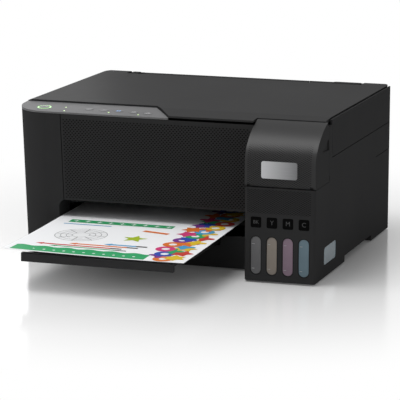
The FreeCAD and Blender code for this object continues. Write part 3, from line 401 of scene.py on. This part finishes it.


# Painted shade: the dashes are the same near-black flat studs as the panel dimples.
tank_tree = stud_grid("tank_dimple_field", dimple.material, 6, 0.0)
block_w = HOUSING[1].x - HOUSING[0].x - 6 * MM
cover_low, cover_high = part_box("tank_cover")
y_off = front_y + 173.5 * MM
arch = [bezier(((-173.5, 136.0), (-173.5, 156.0), (-145.0, 171.2), (-126.0, 176.6)), i / 24)
        for i in range(25)]
cover_path = [(front_y, cover_low.z + 2 * MM)] + [(y * MM + y_off, z * MM) for y, z in arch]
for field, body, height, path, fade in (
        ("cover_dimples", "tank_cover", 55 * MM, cover_path, 9.0),
        ("housing_dimples", "chassis", 28 * MM,
         [(front_y, 79 * MM), (front_y, 107 * MM)], 1.0)):
    studs = grow(field, tank_tree, {
        "Columns": int(block_w / FACE_STEP), "Rows": int(height / FACE_ROW), "Pitch": FACE_STEP,
        "Row": FACE_ROW, "Stagger": 0.5, "Half Width": 1.15 * MM, "Half Height": 0.36 * MM,
        "Lean": 0.0, "Fade Rows": fade,
    })
    studs.data.transform(Matrix.Translation((HOUSING[0].x + 4 * MM, 0, 0)))
    wrap(studs.data, path, 0.05 * MM)
    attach(studs, body)

silver = Paint("badge_silver")
brushed = silver.node("ShaderNodeTexNoise", {}, {
    "Vector": silver.node("ShaderNodeMapping", {}, {0: silver.place, 3: (60.0, 60.0, 3000.0)}),
    "Scale": 1.0})
badge_low, badge_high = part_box("tank_badge")
# Painted reflection: the silver colour runs from light at the left end of the plate to dark at the right.
across = (silver.axis("X") - badge_low.x) / (badge_high.x - badge_low.x)
silver.set(Base_Color=silver.mix(across * 0.85 + brushed * 0.15, (0.56, 0.565, 0.58, 1),
                                 (0.13, 0.132, 0.136, 1)))
silver.set(Metallic=0.35, Roughness=brushed * 0.15 + 0.28,
           Normal=silver.relief(brushed, 0.00002, 0.0004))
coat(silver, "tank_badge")
coat(moulded("cap_black", 0.03, 0.4), *["tank_cap_" + n for n in ("black", "yellow", "magenta", "cyan")])

WINDOW_TONES = {
    "black": (0.085, 0.085, 0.088), "yellow": (0.20, 0.17, 0.14),
    "magenta": (0.19, 0.125, 0.17), "cyan": (0.09, 0.15, 0.185),
}
INK_TONES = {
    "black": (0.012, 0.012, 0.014), "yellow": (0.60, 0.45, 0.06),
    "magenta": (0.45, 0.04, 0.22), "cyan": (0.03, 0.25, 0.45),
}
for ink, tone in WINDOW_TONES.items():
    milky = Paint("tank_" + ink)
    haze = milky.noise(55.0, 4.0)
    rise = milky.axis("Z") * 6.0
    deep = tuple(c * 0.78 for c in tone) + (1.0,)
    pale = tuple(min(1.0, c * 1.25 + 0.02) for c in tone) + (1.0,)
    milky.set(Base_Color=milky.mix(haze * 0.5 + rise, deep, pale), Roughness=0.2 + haze * 0.1,
              Normal=milky.relief(haze, 0.0001, 0.0006))
    coat(milky, "ink_tank_" + ink)
    liquid = Paint("ink_fill_" + ink)
    swirl = liquid.noise(40.0)
    base = INK_TONES[ink]
    liquid.set(Base_Color=liquid.mix(swirl, tuple(c * 0.8 for c in base) + (1.0,), base + (1.0,)),
               Roughness=0.12)
    coat(liquid, "ink_" + ink)


def new_piece(name, body, slot, paint, verts, faces, smooth=False):
    """A mesh piece from points and faces, riding on a body."""
    mesh = bpy.data.meshes.new(name)
    mesh.from_pydata(verts, [], faces)
    mesh.validate()
    mesh.materials.append(paint.material)
    for polygon in mesh.polygons:
        polygon.use_smooth = smooth
    piece = bpy.data.objects.new(name, mesh)
    bpy.context.scene.collection.objects.link(piece)
    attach(piece, body)
    return piece


def stadium(cx, z0, z1, width, steps=14):
    """Outline of an upright slot as (x, z) points."""
    r = width / 2
    outline = []
    for step in range(steps + 1):
        turn = math.pi * step / steps
        outline.append((cx + r * math.cos(turn), z1 - r + r * math.sin(turn)))
    for step in range(steps + 1):
        turn = math.pi + math.pi * step / steps
        outline.append((cx + r * math.cos(turn), z0 + r + r * math.sin(turn)))
    return outline


def ring_y(inner, outer, y_front, y_back):
    """Flat ring between two outlines in the XZ plane, with its outer and inner walls."""
    count = len(inner)
    verts = [(x, y_front, z) for x, z in inner] + [(x, y_front, z) for x, z in outer]
    verts += [(x, y_back, z) for x, z in outer] + [(x, y_back, z) for x, z in inner]
    faces = []
    for i in range(count):
        j = (i + 1) % count
        for a, b in ((0, 1), (1, 2), (2, 3), (3, 0)):
            faces.append((a * count + i, a * count + j, b * count + j, b * count + i))
    return verts, faces


WINDOW_X0 = 119.2 * MM
WINDOW_STEP = 18.5 * MM
WINDOW_Z = (9.5 * MM, 52.5 * MM)
WINDOW_W = 12.0 * MM
rim_paint = moulded("window_rim", 0.004, 0.3, edge=0.0002, sheen=0.3)
plate_paint = moulded("label_plate", 0.002, 0.3, grain=0.00001, edge=0.0003, sheen=0.05)
letter_paint = moulded("label_letter", 0.075, 0.5, grain=0.00001, edge=0.0, sheen=0.05)
mark_paint = moulded("level_mark", 0.30, 0.5, grain=0.00001, edge=0.0, sheen=0.1)


def lettering(name, text, size, paint, centre, body, lift):
    """Raised letters standing on the front face."""
    curve = bpy.data.curves.new(name, "FONT")
    curve.body = text
    curve.size = size
    curve.extrude = lift
    curve.align_x = "CENTER"
    curve.align_y = "CENTER"
    draft = bpy.data.objects.new(name, curve)
    bpy.context.scene.collection.objects.link(draft)
    graph = bpy.context.evaluated_depsgraph_get()
    mesh = bpy.data.meshes.new_from_object(draft.evaluated_get(graph))
    bpy.data.objects.remove(draft)
    mesh.transform(Matrix.Translation(centre) @ Matrix.Rotation(math.pi / 2, 4, "X"))
    mesh.materials.clear()
    mesh.materials.append(paint.material)
    piece = bpy.data.objects.new(name, mesh)
    bpy.context.scene.collection.objects.link(piece)
    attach(piece, body)
    return piece


def rounded_outline(x0, x1, z0, z1, r, steps=5):
    outline = []
    for cx, cz, start in ((x1 - r, z1 - r, 0), (x0 + r, z1 - r, 90), (x0 + r, z0 + r, 180),
                          (x1 - r, z0 + r, 270)):
        for step in range(steps + 1):
            turn = math.radians(start + 90 * step / steps)
            outline.append((cx + r * math.cos(turn), cz + r * math.sin(turn)))
    return outline


def slab_y(outline, y_front, y_back):
    count = len(outline)
    verts = [(x, y_front, z) for x, z in outline] + [(x, y_back, z) for x, z in outline]
    faces = [tuple(range(count))[::-1], tuple(range(count, 2 * count))]
    faces += [(i, (i + 1) % count, count + (i + 1) % count, count + i) for i in range(count)]
    return verts, faces


for index, label in enumerate(("BK", "Y", "M", "C")):
    cx = WINDOW_X0 + WINDOW_STEP * index
    inside = stadium(cx, WINDOW_Z[0] - 0.05 * MM, WINDOW_Z[1] + 0.05 * MM, WINDOW_W + 0.1 * MM)
    outside = stadium(cx, WINDOW_Z[0] - 0.8 * MM, WINDOW_Z[1] + 0.8 * MM, WINDOW_W + 1.6 * MM)
    new_piece("window_rim_" + label, "chassis", "case_black", rim_paint,
              *ring_y(inside, outside, front_y - 0.12 * MM, front_y + 0.3 * MM))
    plate = rounded_outline(cx - 6.1 * MM, cx + 6.1 * MM, 62.6 * MM, 74.8 * MM, 1.8 * MM)
    new_piece("label_plate_" + label, "chassis", "case_black", plate_paint,
              *slab_y(plate, front_y - 0.18 * MM, front_y + 0.3 * MM))
    lettering("label_letter_" + label, label, 7.2 * MM if len(label) == 1 else 5.6 * MM, letter_paint,
              (cx, front_y - 0.2 * MM, 68.7 * MM), "chassis", 0.06 * MM)
    for height in (16.0, 44.0):
        mark = rounded_outline(cx - 4.8 * MM, cx - 1.6 * MM, (height - 0.25) * MM,
                               (height + 0.25) * MM, 0.2 * MM, 2)
        new_piece("level_mark_%s_%d" % (label, height), "chassis", "control_grey", mark_paint,
                  *slab_y(mark, front_y + 0.4 * MM, front_y + 0.7 * MM))

# ------------------------------------------------------------------ scanner and cover
# The document cover is a charcoal moulding with a satin face and a white foam pad
# under it. The platen glass is float glass set in the bezel.

coat(moulded("cover_charcoal", 0.030, 0.33, edge=0.0009, sheen=0.12), "document_cover")
foam = Paint("cover_foam")
cell = foam.node("ShaderNodeTexVoronoi", {}, {"Vector": foam.place, "Scale": 900.0}, "Distance")
foam.set(Base_Color=foam.mix(cell, (0.72, 0.72, 0.70, 1), (0.86, 0.86, 0.85, 1)), Roughness=0.9,
         Normal=foam.relief(cell, 0.00015, 0.001))
coat(foam, "cover_pad")
glass = Paint("platen_glass")
wipe = glass.noise(14.0, 4.0)
glass.set(Base_Color=glass.mix(wipe, (0.75, 0.82, 0.80, 1), (0.85, 0.9, 0.88, 1)), IOR=1.5,
          Roughness=wipe * 0.03 + 0.01, Alpha=0.3)
coat(glass, "scanner_glass")

# ------------------------------------------------------------------ control panel
# A paler grey strip with a satin face, set in the front left corner of the scanner
# unit. Round keys sit in it, and light guides glow round the power key and beside it.

coat(moulded("panel_grey", 0.15, 0.36, edge=0.0009, sheen=0.18), "control_panel")
KEYS = ("power_button", "network_button", "info_button", "copy_mono_button",
        "copy_colour_button", "stop_button")
coat(moulded("key_grey", 0.17, 0.32, edge=0.0003, sheen=0.25), *KEYS)
lit = Paint("light_guide")
ring_glow = lit.axis("X") < -0.14
spill = lit.noise(300.0)
lit.set(Base_Color=lit.mix(spill, (0.2, 0.5, 0.1, 1), (0.4, 0.8, 0.2, 1)),
        Emission_Color=lit.mix(ring_glow, (0.75, 0.95, 0.35, 1), (0.30, 0.85, 0.22, 1)),
        Emission_Strength=0.8, Roughness=0.3)
coat(lit, "status_lights")
sign_paint = moulded("key_sign", 0.72, 0.5, grain=0.00001, edge=0.0)
# Painted glow: the blue sign is print on the mono copy key, made to shine faintly.
glowing_blue_sign = Paint("key_sign_blue_painted_glow")
glowing_blue_sign.set(Base_Color=glowing_blue_sign.mix(glowing_blue_sign.noise(200.0), (0.08, 0.3, 0.8, 1), (0.1, 0.4, 0.9, 1)),
              Emission_Color=(0.1, 0.45, 1.0, 1), Emission_Strength=0.5, Roughness=0.4)


def arc_strip(cx, cy, z, radius, width, start, end, steps=24):
    """Flat curved strip in the XY plane, as points and faces."""
    verts = []
    for step in range(steps + 1):
        turn = math.radians(start + (end - start) * step / steps)
        for r in (radius - width / 2, radius + width / 2):
            verts.append((cx + r * math.cos(turn), cy + r * math.sin(turn), z))
    faces = [(2 * i, 2 * i + 1, 2 * i + 3, 2 * i + 2) for i in range(steps)]
    return verts, faces


def bar_strip(x0, y0, x1, y1, z, width):
    """Straight flat strip in the XY plane."""
    run = Vector((x1 - x0, y1 - y0, 0))
    side = Vector((-run.y, run.x, 0)).normalized() * width / 2
    a, b = Vector((x0, y0, z)), Vector((x1, y1, z))
    return [tuple(a + side), tuple(a - side), tuple(b - side), tuple(b + side)], [(0, 1, 2, 3)]


def join(*shapes):
    verts, faces = [], []
    for more, add in shapes:
        base = len(verts)
        verts += more
        faces += [tuple(i + base for i in face) for face in add]
    return verts, faces


def sign(name, key, paint, *shapes):
    """Printed sign lying on a key."""
    verts, faces = join(*shapes)
    return new_piece(name, key, "control_grey", paint, verts, faces)


LINE = 0.55 * MM
for key in KEYS:
    low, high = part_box(key)
    x, y = (low.x + high.x) / 2, (low.y + high.y) / 2
    top = high.z + 0.04 * MM
    r = (high.x - low.x) / 2
    if key == "power_button":
        sign("power_sign", key, sign_paint, arc_strip(x, y, top, r * 0.5, LINE, 120, 420),
             bar_strip(x, y + r * 0.18, x, y + r * 0.68, top, LINE))
    elif key == "info_button":
        sign("info_sign", key, sign_paint, bar_strip(x, y - r * 0.4, x, y + r * 0.15, top, LINE),
             bar_strip(x, y + r * 0.32, x, y + r * 0.48, top, LINE))
    elif key == "stop_button":
        sign("stop_sign", key, sign_paint, arc_strip(x, y, top, r * 0.48, LINE, 0, 360),
             bar_strip(x - r * 0.3, y - r * 0.3, x + r * 0.3, y + r * 0.3, top, LINE))
    elif key.startswith("copy"):
        w, h = r * 0.38, r * 0.5
        page = [bar_strip(x - w, y - h, x + w, y - h, top, LINE),
                bar_strip(x - w, y + h, x + w, y + h, top, LINE),
                bar_strip(x - w, y - h, x - w, y + h, top, LINE),
                bar_strip(x + w, y - h, x + w, y + h, top, LINE)]
        sign(key + "_sign", key, glowing_blue_sign if "mono" in key else sign_paint, *page)

# ------------------------------------------------------------------ output tray
# Both tray stages are black styrene with a grained top. The outer one ends in a low
# lip, a little paler where the light catches it.

coat(moulded("tray_black", 0.030, 0.42), "output_tray", "tray_extension")

# ------------------------------------------------------------------ printed sheet
# Plain A4 paper, freshly printed and still a little curled at its front left corner.
# The print is flat ink: bands, arrows, a star, rings and a row of bright overlapping
# shapes.

sheet_low, sheet_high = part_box("printed_sheet")
SLOPE = math.tan(math.radians(1.5))
LENGTH = 297.0 * MM
HALF = 105.0 * MM
PAPER = 0.25 * MM
mid_x = (sheet_low.x + sheet_high.x) / 2


def on_sheet(u, v, lift):
    """Point of the paper: u across from its middle, v back from its front edge."""
    away = max(0.0, 1.0 - v / (130.0 * MM))
    left = max(0.0, (HALF - u) / (2 * HALF))
    right = max(0.0, (HALF + u) / (2 * HALF))
    curl = 2.4 * MM * away ** 2 * left ** 2 + 0.7 * MM * away ** 2 * right ** 4
    across = math.cos(math.atan(SLOPE))
    y = sheet_low.y + v * across
    return (mid_x + u, y, sheet_low.z + v * SLOPE * across + curl + lift)


COLUMNS, ROWS = 36, 60
verts, faces = [], []
for lift in (0.0, PAPER):
    for j in range(ROWS + 1):
        for i in range(COLUMNS + 1):
            verts.append(on_sheet(-HALF + 2 * HALF * i / COLUMNS, LENGTH * j / ROWS, lift))
layer = (COLUMNS + 1) * (ROWS + 1)
for j in range(ROWS):
    for i in range(COLUMNS):
        a = j * (COLUMNS + 1) + i
        b = a + COLUMNS + 1
        faces.append((a, b, b + 1, a + 1))
        faces.append((layer + a, layer + a + 1, layer + b + 1, layer + b))
rim = [i for i in range(COLUMNS + 1)]
rim += [j * (COLUMNS + 1) + COLUMNS for j in range(1, ROWS + 1)]
rim += [ROWS * (COLUMNS + 1) + i for i in range(COLUMNS - 1, -1, -1)]
rim += [j * (COLUMNS + 1) for j in range(ROWS - 1, 0, -1)]
for a, b in zip(rim, rim[1:] + rim[:1]):
    faces.append((a, b, layer + b, layer + a))
paper = Paint("office_paper")
fibre = paper.noise(900.0, 5.0)
paper.set(Base_Color=paper.mix(fibre, (0.83, 0.84, 0.86, 1), (0.90, 0.905, 0.915, 1)), Roughness=0.75,
          Normal=paper.relief(fibre, 0.00002))
sheet = new_piece("paper_sheet", "printed_sheet", "paper_print", paper, verts, faces, smooth=False)
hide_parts("printed_sheet")

INKS = {
    "green": (0.01, 0.30, 0.10), "red": (0.50, 0.03, 0.02), "orange": (0.66, 0.15, 0.01),
    "blue": (0.01, 0.05, 0.36), "sky": (0.05, 0.30, 0.55), "purple": (0.16, 0.02, 0.22),
    "yellow": (0.68, 0.46, 0.01), "lime": (0.34, 0.46, 0.01), "grey": (0.22, 0.22, 0.23),
    "dark": (0.02, 0.02, 0.02), "white": (0.80, 0.81, 0.82), "pink": (0.56, 0.03, 0.16),
}
shapes = []


def ink(colour, points):
    """One closed printed shape, its points in millimetres across and back."""
    shapes.append((colour, points))


def disc(cx, cy, radius, count=28, squash=1.0):
    return [(cx + radius * math.cos(2 * math.pi * i / count),
             cy + squash * radius * math.sin(2 * math.pi * i / count)) for i in range(count)]


def star(cx, cy, radius, tips, turn=0.0, depth=0.45):
    points = []
    for i in range(2 * tips):
        r = radius if i % 2 == 0 else radius * depth
        a = math.pi * i / tips + turn
        points.append((cx + r * math.cos(a), cy + r * math.sin(a)))
    return points


def arrow(colour, x0, x1, y, thick):
    """Long printed arrow with a dark tail."""
    ink(colour, [(x0, y), (x0 + 9, y - thick), (x0 + 9, y - thick / 2), (x1, y - thick / 2),
                 (x1, y + thick / 2), (x0 + 9, y + thick / 2), (x0 + 9, y + thick)])
    ink("dark", [(x1, y - thick / 2), (x1 + 13, y - thick / 2), (x1 + 13, y + thick / 2),
                 (x1, y + thick / 2)])


wave = [(-98 + 156 * i / 60, 27 + 1.8 * math.sin(i * 0.62)) for i in range(61)]
ink("green", [(-98, 3)] + [(58, 3)] + wave[::-1])
for i in range(12):
    ink("white", disc(-84 + i * 11.6, 12.5, 1.7, 12))
arrow("red", -82, 6, 41, 4.4)
arrow("green", -64, 14, 34, 3.4)
arrow("orange", -46, 22, 50, 4.4)
arrow("sky", -8, 30, 58, 4.4)
for ringed in range(4):
    radius = 30 - 6.5 * ringed
    outer_ring = disc(-48, 92, radius, 40)
    ink("grey", outer_ring)
    ink("white", disc(-48, 92, radius - 0.7, 40))
for i in range(8):
    a = math.pi * i / 4
    ink("grey", [(-48 + 11 * math.cos(a - 0.05), 92 + 11 * math.sin(a - 0.05)),
                 (-48 + 30 * math.cos(a - 0.015), 92 + 30 * math.sin(a - 0.015)),
                 (-48 + 30 * math.cos(a + 0.015), 92 + 30 * math.sin(a + 0.015)),
                 (-48 + 11 * math.cos(a + 0.05), 92 + 11 * math.sin(a + 0.05))])
ink("lime", star(16, 92, 15, 5, 0.3))
ink("orange", [(12, 128), (44, 121), (46, 127), (14, 134)])
ink("sky", [(-88, 140), (-30, 140), (-30, 142.5), (-88, 142.5)])
ink("green", [(-86, 150), (40, 150), (40, 163), (-86, 163)])
for i in range(9):
    ink("white", star(-78 + i * 14, 156.5, 4.2, 4, 0.0, 0.35))
spots = random.Random(7)
order = ("orange", "yellow", "purple", "blue", "red", "green", "pink", "yellow", "sky", "orange")
for i in range(34):
    colour = order[i % len(order)]
    cx = 78 + 12 * math.sin(i * 1.9) + spots.uniform(-2, 2)
    cy = 12 + i * 7.4
    kind = i % 3
    if kind == 0:
        ink(colour, disc(cx, cy, 11.5, 30))
        ink("white", disc(cx, cy, 4.6, 24))
    elif kind == 1:
        ink(colour, star(cx, cy, 13.5, 5 + i % 2, spots.uniform(0, 1), 0.6))
    else:
        lobes = [(cx + (9.2 + 3.6 * math.cos(4 * t)) * math.cos(t),
                  cy + (9.2 + 3.6 * math.cos(4 * t)) * math.sin(t))
                 for t in (2 * math.pi * k / 40 for k in range(40))]
        ink(colour, lobes)

art = bmesh.new()
tint = art.loops.layers.float_color.new("print")
for order_index, (colour, points) in enumerate(shapes):
    plan = bmesh.new()
    ring = [plan.verts.new((x, y, 0)) for x, y in points]
    plan.faces.new(ring)
    bmesh.ops.triangulate(plan, faces=plan.faces[:])
    cuts = [v * 1.0 for v in range(10, 300, 12)]
    for cut in cuts:
        bmesh.ops.bisect_plane(plan, geom=plan.verts[:] + plan.edges[:] + plan.faces[:],
                               plane_co=(0, cut, 0), plane_no=(0, 1, 0))
    for cut in range(-90, 100, 15):
        bmesh.ops.bisect_plane(plan, geom=plan.verts[:] + plan.edges[:] + plan.faces[:],
                               plane_co=(cut, 0, 0), plane_no=(1, 0, 0))
    lift = PAPER + (0.03 + 0.0035 * order_index) * MM
    made = {v: art.verts.new(on_sheet(v.co.x * MM, v.co.y * MM, lift)) for v in plan.verts}
    for face in plan.faces:
        corners = [made[v] for v in face.verts]
        laid = art.faces.new(corners)
        if face.normal.z < 0:
            laid.normal_flip()
        for loop in laid.loops:
            loop[tint] = INKS[colour] + (1.0,)
    plan.free()
print_mesh = bpy.data.meshes.new("sheet_print")
art.to_mesh(print_mesh)
art.free()
printed = Paint("print_ink")
hue = printed.node("ShaderNodeAttribute", {"attribute_name": "print"}, {}, "Color")
soak = printed.noise(1200.0, 4.0)
printed.set(Base_Color=hue, Roughness=soak * 0.1 + 0.6)
print_mesh.materials.append(printed.material)
artwork = bpy.data.objects.new("sheet_print", print_mesh)
bpy.context.scene.collection.objects.link(artwork)
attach(artwork, "printed_sheet")

# ------------------------------------------------------------------ studio
# A pale floor that fades to white, broad soft light from above and the left, and the
# camera low in front, turned to the right.

BODY_MID_Y = (HOUSING[0].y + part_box("rear_housing")[1].y) / 2
world = bpy.data.worlds.new("studio")
bpy.context.scene.world = world
world.use_nodes = True
sky = world.node_tree
backdrop = sky.nodes["Background"]
rays = sky.nodes.new("ShaderNodeLightPath")
seen = sky.nodes.new("ShaderNodeMath")
seen.operation = "MAXIMUM"
sky.links.new(rays.outputs["Is Camera Ray"], seen.inputs[0])
sky.links.new(rays.outputs["Is Glossy Ray"], seen.inputs[1])
seen_too = sky.nodes.new("ShaderNodeMath")
seen_too.operation = "MAXIMUM"
sky.links.new(seen.outputs[0], seen_too.inputs[0])
sky.links.new(rays.outputs["Is Transmission Ray"], seen_too.inputs[1])
strength = sky.nodes.new("ShaderNodeMapRange")
strength.inputs["To Min"].default_value = 0.35
strength.inputs["To Max"].default_value = 1.0
sky.links.new(seen_too.outputs[0], strength.inputs["Value"])
sky.links.new(strength.outputs[0], backdrop.inputs["Strength"])
backdrop.inputs["Color"].default_value = (1.0, 1.0, 1.0, 1.0)

floor_paint = Paint("studio_floor")
gap_x = floor_paint.axis("X")
gap_y = floor_paint.axis("Y") - BODY_MID_Y
reach = floor_paint.node("ShaderNodeVectorMath", {"operation": "LENGTH"}, {
    0: floor_paint.node("ShaderNodeCombineXYZ", {}, {0: gap_x, 1: gap_y})}, "Value")
fade = floor_paint.node("ShaderNodeMapRange", {"interpolation_type": "SMOOTHSTEP"}, {
    "Value": reach, "From Min": 0.16, "From Max": 0.62, "To Min": 0.0, "To Max": 1.0})
rays_met = floor_paint.tree.nodes.new("ShaderNodeLightPath")
camera_ray = (Link(floor_paint, rays_met.outputs["Is Camera Ray"])
              + Link(floor_paint, rays_met.outputs["Is Glossy Ray"])
              + Link(floor_paint, rays_met.outputs["Is Transmission Ray"])) > 0.5
grit = floor_paint.noise(3.0)
floor_paint.set(Base_Color=floor_paint.mix(grit, (0.80, 0.80, 0.80, 1), (0.83, 0.83, 0.83, 1)),
                Roughness=0.14)
glow = floor_paint.node("ShaderNodeEmission", {}, {0: (1, 1, 1, 1), 1: 1.0})
out = floor_paint.tree.nodes["Material Output"]
blend = floor_paint.node("ShaderNodeMixShader", {}, {0: fade * camera_ray * 0.97 + camera_ray * 0.03})
mixer = blend.socket.node
floor_paint.tree.links.new(floor_paint.shader.outputs[0], mixer.inputs[1])
floor_paint.tree.links.new(glow.socket, mixer.inputs[2])
floor_paint.tree.links.new(mixer.outputs[0], out.inputs[0])
floor_mesh = bpy.data.meshes.new("floor")
SPAN = 9.0
floor_mesh.from_pydata([(-SPAN, -SPAN, 0), (SPAN, -SPAN, 0), (SPAN, SPAN, 0), (-SPAN, SPAN, 0)], [],
                       [(0, 1, 2, 3)])
floor_mesh.materials.append(floor_paint.material)
floor = bpy.data.objects.new("floor", floor_mesh)
bpy.context.scene.collection.objects.link(floor)
floor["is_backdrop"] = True


def softbox(name, place, aim, width, height, power):
    lamp = bpy.data.lights.new(name, "AREA")
    lamp.shape = "RECTANGLE"
    lamp.size = width
    lamp.size_y = height
    lamp.energy = power
    holder = bpy.data.objects.new(name, lamp)
    bpy.context.scene.collection.objects.link(holder)
    holder.location = place
    holder.rotation_mode = "QUATERNION"
    holder.rotation_quaternion = (Vector(aim) - Vector(place)).to_track_quat("-Z", "Y")
    return holder


softbox("top_light", (-0.35, -0.3, 1.5), (0, 0, 0.1), 1.0, 0.8, 16)
softbox("back_light", (-0.8, 1.15, 0.5), (-0.15, 0.05, 0.17), 0.5, 0.3, 1.5)
softbox("left_light", (-1.5, -0.7, 0.45), (-0.1, -0.1, 0.1), 0.35, 0.8, 4)
softbox("right_light", (1.5, -0.75, 0.35), (0.15, -0.1, 0.1), 0.2, 0.8, 1.5)

AZIMUTH = math.radians(18.37)
ELEVATION = math.radians(11.11)
ROLL = math.radians(0.18)
back = Vector((math.sin(AZIMUTH) * math.cos(ELEVATION), -math.cos(AZIMUTH) * math.cos(ELEVATION),
               math.sin(ELEVATION)))
level = Vector((math.cos(AZIMUTH), math.sin(AZIMUTH), 0))
upward = back.cross(level)
right = level * math.cos(ROLL) + upward * math.sin(ROLL)
up = upward * math.cos(ROLL) - level * math.sin(ROLL)
target = Vector((0, BODY_MID_Y, 89.5 * MM))
eye = target + back * 2932.93 * MM - right * 3.95 * MM - up * 35.07 * MM
lens = bpy.data.cameras.new("camera")
lens.sensor_width = 36.0
lens.lens = 221.77
lens.clip_end = 50.0
camera = bpy.data.objects.new("camera", lens)
bpy.context.scene.collection.objects.link(camera)
camera.matrix_world = Matrix((
    (right.x, up.x, back.x, eye.x),
    (right.y, up.y, back.y, eye.y),
    (right.z, up.z, back.z, eye.z),
    (0, 0, 0, 1),
))
bpy.context.scene.camera = camera
bpy.context.scene.view_settings.view_transform = "Standard"

low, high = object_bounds()
